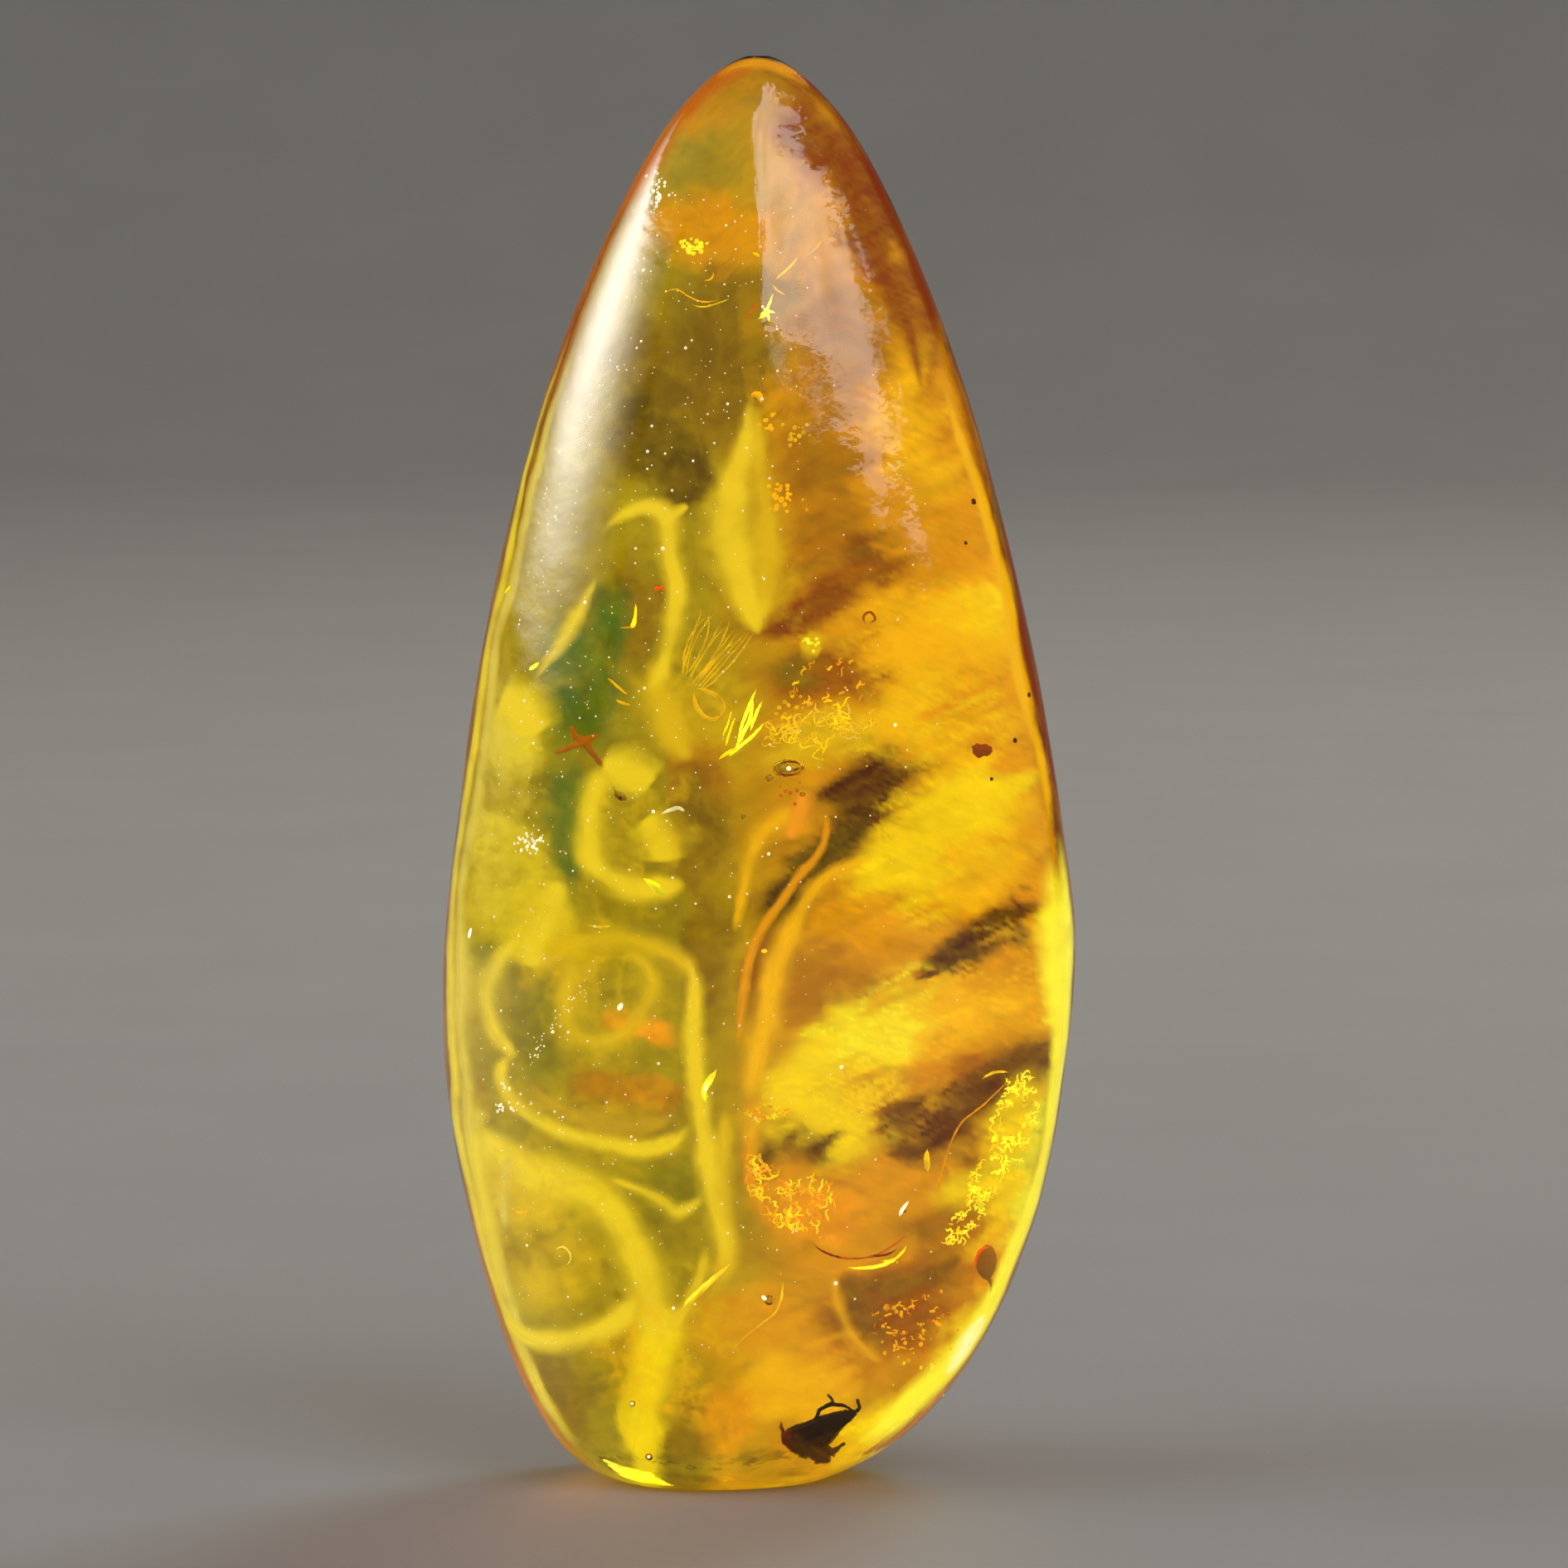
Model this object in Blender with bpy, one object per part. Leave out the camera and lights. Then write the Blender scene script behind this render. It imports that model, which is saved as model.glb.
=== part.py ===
"""A polished drop of amber, 60 mm tall, that stands on a small flat ground at its foot.

The stone is one smooth lofted body: each level is an oval between a left and a right outline. It is parted
along its middle plane into a front and a back half, so that the things sealed in it lie in open pockets.
Each sealed thing is made of tapered tubes, and its pocket is the same tubes, grown by the gap.
The frame is metres, +Z up, the viewed side towards -Y, with the origin on the flat, under the stone's middle.
"""

import bmesh
import bpy
import numpy as np

MM = 0.001
HEIGHT = 60.0

# The stone's outline seen from the front: x and height in mm, from the foot up the left side, over the tip
# and down the right side to the foot.
OUTLINE = (
    (-6.1, 0.0), (-8.0, 1.0), (-9.7, 3.4), (-12.0, 10.0), (-13.36, 19.3), (-12.72, 27.7), (-10.83, 39.0),
    (-7.3, 50.4), (-3.1, 58.0), (0.0, HEIGHT), (3.1, 57.9), (7.2, 50.2), (10.7, 38.8), (12.8, 28.0),
    (13.36, 23.0), (12.95, 17.2), (11.5, 10.3), (9.0, 5.0), (6.3, 1.9), (2.9, 0.0),
)
# Half the stone's thickness and the height where it has it, in mm.
HALF_DEPTH = (
    (3.8, 0.0), (5.3, 1.0), (6.5, 3.2), (7.8, 10.0), (8.5, 20.0), (8.2, 28.5), (7.0, 39.0), (4.8, 50.3),
    (2.1, 58.0), (0.0, HEIGHT),
)
LEFT_FULLER = 0.10  # the left side is thicker than the right by this share each way
CREST_RISE = 0.06  # the low ridge in front below the tip, as a share of the depth there
CREST_HALF_WIDTH = 0.9
CREST_FROM, CREST_TO = 40.0, 56.0  # the ridge fades in between these heights
LEVELS = 42
AROUND = 48
SHARP_ANGLE = 0.7  # radians: only the foot's rim and the tubes' ends stay sharp

AMBER_IOR = 1.54
PARTING_GAP = 0.3
POCKET_GAP = 0.28
END_SHARE = 0.5  # a grown tube's outermost rings are this share of the width of its ends
BOX_SIDE = 80.0  # the cutting box that parts the stone

# Sealed things: each tube is its spine's (x, y, height) in mm, its radii in mm and its number of sides.
INSECT_BODY = (
    ((0.40, 0.0, 2.98), (0.62, 0.05, 2.98), (1.05, 0.10, 3.00), (1.50, 0.08, 3.12), (1.95, 0.02, 3.34),
     (2.40, -0.03, 3.62), (2.85, -0.05, 3.82), (3.14, -0.05, 3.94)),
    (0.14, 0.34, 0.50, 0.53, 0.46, 0.32, 0.23, 0.10),
    10,
)
INSECT_LIMBS = (
    (((1.35, 0.00, 2.80), (1.75, -0.10, 2.52), (2.15, -0.12, 2.42)), (0.30, 0.20, 0.10), 6),
    (((1.95, 0.00, 2.75), (2.25, -0.15, 2.60), (2.72, -0.25, 2.86)), (0.16, 0.11, 0.04), 6),
    (((1.55, 0.00, 3.50), (1.80, -0.15, 3.96), (2.25, -0.22, 4.20), (2.75, -0.20, 4.16), (3.08, -0.05, 3.96)),
     (0.09, 0.08, 0.09, 0.07, 0.07), 6),
    (((2.32, -0.22, 4.14), (2.30, -0.24, 4.36), (2.16, -0.26, 4.56)), (0.10, 0.07, 0.03), 6),
    (((3.06, -0.05, 3.90), (3.28, -0.10, 4.10), (3.20, -0.12, 4.42)), (0.07, 0.08, 0.06), 6),
    (((0.50, 0.05, 3.12), (0.42, -0.05, 3.36), (0.46, -0.08, 3.52)), (0.09, 0.05, 0.03), 6),
)
SEED_BODY = (
    ((8.46, 0.0, 10.46), (8.43, 0.0, 10.36), (8.38, 0.0, 10.10), (8.36, 0.0, 9.76), (8.36, 0.0, 9.42),
     (8.42, 0.0, 9.14), (8.46, 0.0, 9.04)),
    (0.10, 0.24, 0.38, 0.42, 0.37, 0.22, 0.10),
    12,
)
SEED_TAIL = (
    (((8.46, 0.0, 9.16), (8.62, -0.02, 8.70), (8.58, -0.02, 8.25), (8.40, 0.0, 7.86)), (0.11, 0.08, 0.06, 0.03), 6),
)
HAIR_HEART = (((-6.42, 0.0, 31.22), (-6.25, 0.0, 31.10), (-6.06, 0.0, 31.00)), (0.16, 0.24, 0.14), 8)
HAIR_ARMS = (
    (((-6.25, 0.0, 31.10), (-6.70, -0.05, 30.92), (-7.24, -0.12, 30.66)), (0.17, 0.12, 0.05), 6),
    (((-6.25, 0.0, 31.10), (-6.58, -0.05, 31.36), (-6.72, -0.14, 31.76)), (0.20, 0.15, 0.07), 6),
    (((-6.25, 0.0, 31.10), (-6.02, 0.04, 31.24), (-5.72, 0.10, 31.36)), (0.20, 0.14, 0.06), 6),
    (((-6.25, 0.0, 31.10), (-5.94, 0.05, 30.66), (-5.58, 0.12, 30.06)), (0.17, 0.12, 0.06), 6),
)
MITE_BODY = (
    ((-5.20, 0.0, 28.98), (-5.12, 0.0, 28.96), (-5.00, 0.0, 28.92), (-4.88, 0.0, 28.87), (-4.80, 0.0, 28.84)),
    (0.07, 0.15, 0.19, 0.14, 0.06),
    8,
)
MITE_BRISTLE = ((((-5.10, 0.0, 28.98), (-5.24, -0.03, 29.24), (-5.34, -0.05, 29.48)), (0.06, 0.04, 0.02), 6),)
CRUMB_BODY = (
    ((7.76, 0.0, 30.80), (7.86, 0.02, 30.82), (8.05, 0.0, 30.70), (8.28, -0.03, 30.76), (8.46, 0.0, 30.66),
     (8.54, 0.0, 30.64)),
    (0.10, 0.25, 0.30, 0.26, 0.22, 0.09),
    7,
)


def smooth_curve(points, steps=24):
    """A cubic through the points: each stretch leaves and meets them along the slope of their neighbours."""
    points = np.asarray(points, float)
    knots = np.r_[0, np.cumsum(np.linalg.norm(np.diff(points, axis=0), axis=1) ** 0.5)]
    slopes = np.gradient(points, knots, axis=0, edge_order=2)
    along = np.linspace(0, knots[-1], steps * len(points))
    start = np.clip(np.searchsorted(knots, along, side="right") - 1, 0, len(points) - 2)
    length = (knots[start + 1] - knots[start])[:, None]
    u = (along - knots[start])[:, None] / length
    return (
        (2 * u**3 - 3 * u**2 + 1) * points[start]
        + (u**3 - 2 * u**2 + u) * length * slopes[start]
        + (3 * u**2 - 2 * u**3) * points[start + 1]
        + (u**3 - u**2) * length * slopes[start + 1]
    )


def stone_sections(heights):
    """The middle, half width and half depth of the oval at each height."""
    line = smooth_curve(OUTLINE)
    top = line[:, 1].argmax()
    left, right = line[: top + 1], line[top:][::-1]
    mirrored = [(-depth, height) for depth, height in HALF_DEPTH[-2::-1]]
    profile = smooth_curve(list(HALF_DEPTH) + mirrored)
    profile = profile[: profile[:, 1].argmax() + 1]
    low, high = (np.interp(heights, side[:, 1], side[:, 0]) for side in (left, right))
    return (low + high) / 2, (high - low) / 2, np.interp(heights, profile[:, 1], profile[:, 0])


def stone_rings():
    """Ovals from the foot to the tip, closer together at both ends, as an array of levels, points and x, y, z."""
    heights = HEIGHT * (1 - np.cos(np.pi * np.linspace(0, 1, LEVELS))) / 2
    middle, half_width, half_depth = (size[:, None] for size in stone_sections(heights))
    turn = 2 * np.pi * np.arange(AROUND) / AROUND
    x = middle + half_width * np.cos(turn)
    y = half_depth * np.sin(turn) * (1 - LEFT_FULLER * np.cos(turn))
    fade = np.clip((heights[:, None] - CREST_FROM) / (CREST_TO - CREST_FROM), 0, 1)
    crest = CREST_RISE * fade**2 * (3 - 2 * fade) * np.exp(-((x / CREST_HALF_WIDTH) ** 2))
    y = np.where(y < 0, y * (1 + crest), y)
    return np.stack([x, y, np.broadcast_to(heights[:, None], x.shape)], axis=-1)


def tube_rings(spine, radii, sides, grow=0.0):
    """Rings along a spine, square to it. Growing widens them and lengthens both ends by as much."""
    spine, radii = np.asarray(spine, float), np.asarray(radii, float) + grow
    tangents = np.gradient(spine, axis=0)
    tangents /= np.linalg.norm(tangents, axis=1)[:, None]
    if grow:
        spine = np.concatenate([spine[:1] - grow * tangents[:1], spine, spine[-1:] + grow * tangents[-1:]])
        tangents = np.concatenate([tangents[:1], tangents, tangents[-1:]])
        radii = np.concatenate([radii[:1] * END_SHARE, radii, radii[-1:] * END_SHARE])
    across = np.cross(tangents, (0.0, 1.0, 0.0))
    across /= np.linalg.norm(across, axis=1)[:, None]
    deep = np.cross(tangents, across)
    turn = 2 * np.pi * (np.arange(sides) + 0.5) / sides
    ring = across[:, None] * np.cos(turn)[:, None] + deep[:, None] * np.sin(turn)[:, None]
    return spine[:, None] + radii[:, None, None] * ring


def solid(name, rings, finish):
    """One closed mesh object through the rings, with both ends filled."""
    mesh = bpy.data.meshes.new(name)
    build = bmesh.new()
    loops = [[build.verts.new(point * MM) for point in ring] for ring in rings]
    for lower, upper in zip(loops, loops[1:]):
        for i in range(len(lower)):
            j = (i + 1) % len(lower)
            build.faces.new((lower[i], lower[j], upper[j], upper[i]))
    build.faces.new(loops[0])
    build.faces.new(loops[-1])
    bmesh.ops.remove_doubles(build, verts=build.verts, dist=1e-7)
    bmesh.ops.recalc_face_normals(build, faces=build.faces)
    build.to_mesh(mesh)
    build.free()
    mesh.shade_smooth()
    mesh.set_sharp_from_angle(angle=SHARP_ANGLE)
    mesh.materials.append(finish)
    thing = bpy.data.objects.new(name, mesh)
    bpy.context.collection.objects.link(thing)
    return thing


def hide_as_helper(thing):
    thing.hide_render = True
    thing.display_type = "WIRE"
    return thing


def combine(thing, other, operation):
    step = thing.modifiers.new(f"{operation.lower()} {other.name}", "BOOLEAN")
    step.operation = operation
    step.solver = "EXACT"
    step.object = other


def tube_group(name, body, limbs, finish, grow=0.0):
    """A body tube with its limbs joined to it, as one solid."""
    spine, radii, sides = body
    group = solid(name, tube_rings(spine, radii, sides, grow), finish)
    for number, (spine, radii, sides) in enumerate(limbs, start=1):
        limb = solid(f"{name}_limb_{number}", tube_rings(spine, radii, sides, grow), finish)
        combine(group, hide_as_helper(limb), "UNION")
    return group


def principled(name, color, roughness, transmission=0.0):
    """A Principled material, clear where it has transmission."""
    made = bpy.data.materials.new(name)
    made.use_nodes = True
    shader = made.node_tree.nodes["Principled BSDF"]
    shader.inputs["Base Color"].default_value = (*color, 1.0)
    shader.inputs["Roughness"].default_value = roughness
    shader.inputs["Metallic"].default_value = 0.0
    shader.inputs["IOR"].default_value = AMBER_IOR
    shader.inputs["Transmission Weight"].default_value = transmission
    return made


def parting_box(front):
    """A box that reaches from one face of the parting gap over the whole of the other half."""
    away = (BOX_SIDE - PARTING_GAP) / 2 * (1 if front else -1)
    corners = np.array([(-1, -1), (1, -1), (1, 1), (-1, 1)]) * BOX_SIDE / 2 + (0.0, away)
    floor, ceiling = -BOX_SIDE / 4, BOX_SIDE
    return [np.c_[corners, np.full(4, height)] for height in (floor, ceiling)]


def amber_half(name, front, amber, pockets):
    """Half of the stone: the whole form less the other half and less the pockets."""
    half = solid(name, stone_rings(), amber)
    box = solid(f"{name}_parting", parting_box(front), amber)
    combine(half, hide_as_helper(box), "DIFFERENCE")
    for pocket in pockets:
        combine(half, pocket, "DIFFERENCE")
    return half


def main():
    for thing in list(bpy.data.objects):
        bpy.data.objects.remove(thing, do_unlink=True)
    amber = principled("amber", (0.92, 0.58, 0.06), 0.05, transmission=1.0)
    sealed = (
        ("insect", INSECT_BODY, INSECT_LIMBS, principled("insect_brown", (0.020, 0.008, 0.003), 0.45)),
        ("seed", SEED_BODY, SEED_TAIL, principled("seed_brown", (0.22, 0.09, 0.02), 0.5)),
        ("leaf_hair", HAIR_HEART, HAIR_ARMS, principled("hair_orange", (0.80, 0.36, 0.03), 0.7)),
        ("mite", MITE_BODY, MITE_BRISTLE, principled("mite_red", (0.30, 0.06, 0.01), 0.6)),
        ("bark_crumb", CRUMB_BODY, (), principled("bark_brown", (0.10, 0.035, 0.008), 0.8)),
    )
    pockets = []
    for name, body, limbs, finish in sealed:
        tube_group(name, body, limbs, finish)
        pocket = tube_group(f"{name}_pocket", body, limbs, finish, grow=POCKET_GAP)
        pockets.append(hide_as_helper(pocket))
    amber_half("amber_front", True, amber, pockets)
    amber_half("amber_back", False, amber, pockets)


main()
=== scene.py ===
"""The looks of a polished drop of amber: a clear stone with veils, strands and small sealed things inside."""

import math

import bpy
import numpy as np
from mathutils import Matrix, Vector


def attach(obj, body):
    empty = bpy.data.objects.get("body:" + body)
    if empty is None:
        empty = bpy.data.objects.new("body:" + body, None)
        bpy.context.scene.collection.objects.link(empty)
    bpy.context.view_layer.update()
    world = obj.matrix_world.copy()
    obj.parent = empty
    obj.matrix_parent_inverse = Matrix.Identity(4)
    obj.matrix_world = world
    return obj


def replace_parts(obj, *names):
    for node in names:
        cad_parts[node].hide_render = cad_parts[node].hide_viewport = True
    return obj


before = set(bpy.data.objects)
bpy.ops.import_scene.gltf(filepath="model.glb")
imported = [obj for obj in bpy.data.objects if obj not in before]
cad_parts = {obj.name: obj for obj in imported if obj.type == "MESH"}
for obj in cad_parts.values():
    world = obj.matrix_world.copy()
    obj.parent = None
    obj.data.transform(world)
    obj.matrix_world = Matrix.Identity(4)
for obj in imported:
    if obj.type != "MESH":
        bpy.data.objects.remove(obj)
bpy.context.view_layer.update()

MM = 0.001
HEIGHT = 60.0
AMBER_IOR = 1.54
ABSORPTION = np.array([0.038, 0.084, 0.365])  # how fast red, green and blue light fade, per mm

# The stone's form, in mm, as in the solids: x and height down both sides, and half the thickness by height.
OUTLINE = (
    (-6.1, 0.0), (-8.0, 1.0), (-9.7, 3.4), (-12.0, 10.0), (-13.36, 19.3), (-12.72, 27.7), (-10.83, 39.0),
    (-7.3, 50.4), (-3.1, 58.0), (0.0, HEIGHT), (3.1, 57.9), (7.2, 50.2), (10.7, 38.8), (12.8, 28.0),
    (13.36, 23.0), (12.95, 17.2), (11.5, 10.3), (9.0, 5.0), (6.3, 1.9), (2.9, 0.0),
)
HALF_DEPTH = (
    (3.8, 0.0), (5.3, 1.0), (6.5, 3.2), (7.8, 10.0), (8.5, 20.0), (8.2, 28.5), (7.0, 39.0), (4.8, 50.3),
    (2.1, 58.0), (0.0, HEIGHT),
)
LEFT_FULLER = 0.10
CREST_RISE = 0.06
CREST_HALF_WIDTH = 0.9
CREST_FROM, CREST_TO = 40.0, 56.0
SKIN_WAVE = 0.003  # share of the width by which the clear surface's slow waves stay inside the solids
TIP_CUT = 0.05  # mm by which the clear surface's tip stays inside the solids

# The camera, and the picture's own measure: a step is a stretch of the plane through the stone's middle.
PICTURE_SIDE = 1891
STEP = HEIGHT / 1722
AXIS_U, FOOT_V = 915, 1796
FOOT_DROP = 0.4  # the front of the foot shows this much lower than its middle
LOOK_DOWN = math.radians(6.0)
CAMERA_AWAY = 450.0
SENSOR = 36.0
SWELL = 1.2  # the curved front shows things in the middle of the stone this much larger
FRONT_REACH = 14.0  # mm in front of the middle plane from which a sight line is followed
HALVINGS = 24  # steps that find where it meets the front surface
INSIDE_SHARE = 0.985  # nothing sealed lies further out than this share of the stone's oval
LEAST_THROUGH = 0.22  # amber that lets less light through than this isn't made up for
BRIGHTEST = 4  # and nothing is made brighter than this


# The stone's form

def smooth_curve(points, steps=24):
    """A cubic through the points: each stretch leaves and meets them along the slope of their neighbours."""
    points = np.asarray(points, float)
    knots = np.r_[0, np.cumsum(np.linalg.norm(np.diff(points[:, :2], axis=0), axis=1) ** 0.5)]
    slopes = np.gradient(points, knots, axis=0, edge_order=min(2, len(points) - 1))
    along = np.linspace(0, knots[-1], steps * len(points))
    start = np.clip(np.searchsorted(knots, along, side="right") - 1, 0, len(points) - 2)
    length = (knots[start + 1] - knots[start])[:, None]
    u = (along - knots[start])[:, None] / length
    return (
        (2 * u**3 - 3 * u**2 + 1) * points[start]
        + (u**3 - 2 * u**2 + u) * length * slopes[start]
        + (3 * u**2 - 2 * u**3) * points[start + 1]
        + (u**3 - u**2) * length * slopes[start + 1]
    )


LINE = smooth_curve(OUTLINE)
TOP = LINE[:, 1].argmax()
LEFT_SIDE, RIGHT_SIDE = LINE[: TOP + 1], LINE[TOP:][::-1]
PROFILE = smooth_curve(list(HALF_DEPTH) + [(-depth, height) for depth, height in HALF_DEPTH[-2::-1]])
PROFILE = PROFILE[: PROFILE[:, 1].argmax() + 1]


def section(heights):
    """The middle, half width and half depth of the stone's oval at each height."""
    low = np.interp(heights, LEFT_SIDE[:, 1], LEFT_SIDE[:, 0])
    high = np.interp(heights, RIGHT_SIDE[:, 1], RIGHT_SIDE[:, 0])
    return (low + high) / 2, (high - low) / 2, np.interp(heights, PROFILE[:, 1], PROFILE[:, 0])


def smoothstep(low, high, value):
    """A soft step from 0 to 1: three squares less two cubes of the share of the way from low to high."""
    share = np.clip((value - low) / (high - low), 0, 1)
    return share * share * (3 - 2 * share)


def crest(x, height):
    """The low ridge in front below the tip: a bell across x that fades in with height."""
    return CREST_RISE * smoothstep(CREST_FROM, CREST_TO, height) * np.exp(-((x / CREST_HALF_WIDTH) ** 2))


def front_depth(x, height):
    """How far the front surface stands forward of the middle plane, nothing beyond the outline."""
    middle, half_width, half_depth = section(height)
    share = np.clip((x - middle) / np.maximum(half_width, 1e-6), -1, 1)
    return half_depth * np.sqrt(1 - share**2) * (1 - LEFT_FULLER * share) * (1 + crest(x, height))


def front_normal(point):
    """Outward normals of the front surface, from its slope across and up."""
    x, height, reach = point[..., 0], point[..., 2], 0.02
    across = (front_depth(x + reach, height) - front_depth(x - reach, height)) / (2 * reach)
    up = (front_depth(x, height + reach) - front_depth(x, height - reach)) / (2 * reach)
    normal = np.stack([-across, -np.ones_like(x), -up], axis=-1)
    return normal / np.linalg.norm(normal, axis=-1, keepdims=True)


# Places inside, as the picture shows them through the curved front

VIEW = np.array([0.0, math.cos(LOOK_DOWN), -math.sin(LOOK_DOWN)])
VIEW_UP = np.array([0.0, math.sin(LOOK_DOWN), math.cos(LOOK_DOWN)])
MIDDLE = np.array([0.0, 0.0, HEIGHT / 2])
EYE = MIDDLE - VIEW * CAMERA_AWAY


def seen_height(v):
    """How high above the foot a picture place shows, measured square to the view."""
    return (FOOT_V - v) * STEP - FOOT_DROP


def inside(u, v, deep):
    """Where a thing lies that shows at picture place u, v, at a share of the way from front to back.

    The sight line is followed to the front surface, bent there by the law of refraction, and taken on to
    that depth.
    """
    u, v, deep = np.broadcast_arrays(*(np.asarray(value, float) for value in (u, v, deep)))
    seen = ((u - AXIS_U) * STEP)[..., None] * np.array([1.0, 0, 0]) + MIDDLE
    seen = seen + (seen_height(v) - MIDDLE[2] * math.cos(LOOK_DOWN))[..., None] * VIEW_UP
    sight = seen - EYE
    sight /= np.linalg.norm(sight, axis=-1, keepdims=True)
    near, far = np.full(u.shape, -FRONT_REACH), np.zeros(u.shape)
    for _ in range(HALVINGS):
        half = (near + far) / 2
        point = seen + half[..., None] * sight
        within = point[..., 1] + front_depth(point[..., 0], point[..., 2]) > 0
        near, far = np.where(within, near, half), np.where(within, half, far)
    hit = seen + far[..., None] * sight
    normal = front_normal(hit)
    facing = -(normal * sight).sum(-1, keepdims=True)
    bend = 1 / AMBER_IOR
    bent = bend * sight + (bend * facing - np.sqrt(1 - bend**2 * (1 - facing**2))) * normal
    depth = hit[..., 1] * (1 - 2 * deep) - hit[..., 1]
    return keep_inside(hit + (depth / bent[..., 1])[..., None] * bent)


def keep_inside(place):
    """Draws points that fall outside the stone back towards its axis, level by level."""
    height = np.clip(place[..., 2], 0.3, HEIGHT - 0.5)
    middle, half_width, half_depth = section(height)
    share = (place[..., 0] - middle) / half_width
    reach = np.hypot(share, place[..., 1] / (half_depth * (1 - LEFT_FULLER * np.clip(share, -1, 1))))
    draw = np.minimum(1, INSIDE_SHARE / np.maximum(reach, 1e-9))
    return np.stack([middle + (place[..., 0] - middle) * draw, place[..., 1] * draw, height], axis=-1)


def before_amber(seen, points):
    """The color that a thing needs to show as the seen one through the amber in front of it."""
    path = np.maximum(points[..., 1] + front_depth(points[..., 0], points[..., 2]), 0)
    through = np.exp(-ABSORPTION * path[..., None])
    return np.clip(seen / np.maximum(through, LEAST_THROUGH), 0, BRIGHTEST)


# Shader maths

class Value:
    """A shader socket that takes part in Python arithmetic: each operator adds its Math node."""

    def __init__(self, shader, socket):
        self.shader, self.socket = shader, socket

    def math(self, operation, *terms):
        return self.shader.node("ShaderNodeMath", {"operation": operation}, dict(enumerate(terms)))

    def __add__(self, other):
        return self.math("ADD", self, other)

    def __mul__(self, other):
        return self.math("MULTIPLY", self, other)

    __radd__ = __add__
    __rmul__ = __mul__


class Shader:
    """A material's node tree, with one method that adds any node."""

    def __init__(self, name):
        self.material = bpy.data.materials.new(name)
        self.material.use_nodes = True
        self.material.cycles.emission_sampling = "NONE"
        self.tree = self.material.node_tree
        self.tree.nodes.clear()

    def node(self, kind, settings=None, inputs=None, output=0):
        """Adds a node: its settings first, then the values or links of its sockets, and gives one output."""
        made = self.tree.nodes.new(kind)
        for key, setting in (settings or {}).items():
            setattr(made, key, setting)
        for key, given in (inputs or {}).items():
            if isinstance(given, Value):
                self.tree.links.new(given.socket, made.inputs[key])
            else:
                made.inputs[key].default_value = given
        return Value(self, made.outputs[output])

    def point(self):
        return self.node("ShaderNodeTexCoord", output="Object")

    def axes(self, point):
        made = self.node("ShaderNodeSeparateXYZ", None, {0: point}).socket.node
        return [Value(self, socket) for socket in made.outputs]

    def span(self, value, low, high, to_low=0.0, to_high=1.0):
        """The value carried smoothly from one span to another, and held at its ends."""
        inputs = {0: value, 1: low, 2: high, 3: to_low, 4: to_high}
        return self.node("ShaderNodeMapRange", {"interpolation_type": "SMOOTHSTEP"}, inputs)

    def noise(self, point, scale, detail=2.0, rough=0.5):
        inputs = {"Vector": point, "Scale": scale, "Detail": detail, "Roughness": rough}
        return self.node("ShaderNodeTexNoise", None, inputs)

    def stretched(self, point, along, turn):
        """The point turned about the depth and drawn out along the turned x."""
        inputs = {"Vector": point, "Scale": (along, 1.0, 1.0), "Rotation": (0.0, turn, 0.0)}
        return self.node("ShaderNodeMapping", {"vector_type": "TEXTURE"}, inputs)

    def mix(self, share, first, second, blend="MIX"):
        settings = {"data_type": "RGBA", "blend_type": blend}
        return self.node("ShaderNodeMix", settings, {0: share, 6: first, 7: second}, 2)

    def tinted(self, first, second):
        return self.mix(1.0, first, second, "MULTIPLY")

    def shade(self, value):
        """A number as a gray color."""
        return self.mix(value, (0.0, 0.0, 0.0, 1.0), (1.0, 1.0, 1.0, 1.0))

    def painted(self, output="Color"):
        return self.node("ShaderNodeAttribute", {"attribute_name": "paint"}, output=output)

    def bump(self, height, strength, distance):
        inputs = {"Height": height, "Strength": strength, "Distance": distance}
        return self.node("ShaderNodeBump", None, inputs)

    def principled(self, **inputs):
        named = {key.replace("_", " "): given for key, given in inputs.items()}
        return self.node("ShaderNodeBsdfPrincipled", None, named)

    def finish(self, surface, volume=None):
        end = self.tree.nodes.new("ShaderNodeOutputMaterial")
        self.tree.links.new(surface.socket, end.inputs["Surface"])
        if volume:
            self.tree.links.new(volume.socket, end.inputs["Volume"])
        return self.material


def tone(red, green, blue):
    """A color as the eye names it, 0 to 255, made linear."""
    share = np.array([red, green, blue]) / 255
    return np.where(share <= 0.04045, share / 12.92, ((share + 0.055) / 1.055) ** 2.4)


def opaque(color):
    return (*(float(part) for part in color), 1.0)


# The tones that the inside shows

LEMON = tone(254, 246, 50)
PRIMROSE = tone(226, 184, 18)
BRIGHT_GOLD = tone(253, 216, 6)
GOLD = tone(250, 186, 4)
HONEY = tone(230, 154, 4)
TAN = tone(180, 114, 4)
BRANDY = tone(150, 78, 3)
DARK_BROWN = tone(74, 24, 2)
BOG = tone(76, 52, 4)
DEEP_OLIVE = tone(92, 70, 10)
RUST = tone(128, 44, 4)
RUSSET = tone(136, 58, 4)
SOOT = tone(92, 40, 2)
AMBER_RED = tone(196, 100, 10)
CREAM = tone(226, 194, 70)
SEDGE = tone(136, 126, 34)
MOSS = tone(168, 144, 34)
STRAW = tone(244, 208, 38)
OLIVE = tone(142, 108, 16)
TEAL = tone(84, 108, 66)
PEACH = tone(252, 160, 40)
EMBER = tone(250, 90, 8)
BARK = tone(70, 24, 6)
WHITE = tone(255, 252, 240)
POCKET = tone(122, 78, 8)
DULL_GOLD = tone(196, 154, 34)
GLARE = tone(255, 255, 205) * 1.3
# painted glints: tones times FLASH are sparks of painted light
FLASH = 1.6  # a spark is this much brighter than its tone


# Meshes

def linked(name, data):
    """A new object of that name in the scene."""
    made = bpy.data.objects.new(name, data)
    bpy.context.scene.collection.objects.link(made)
    return made


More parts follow.
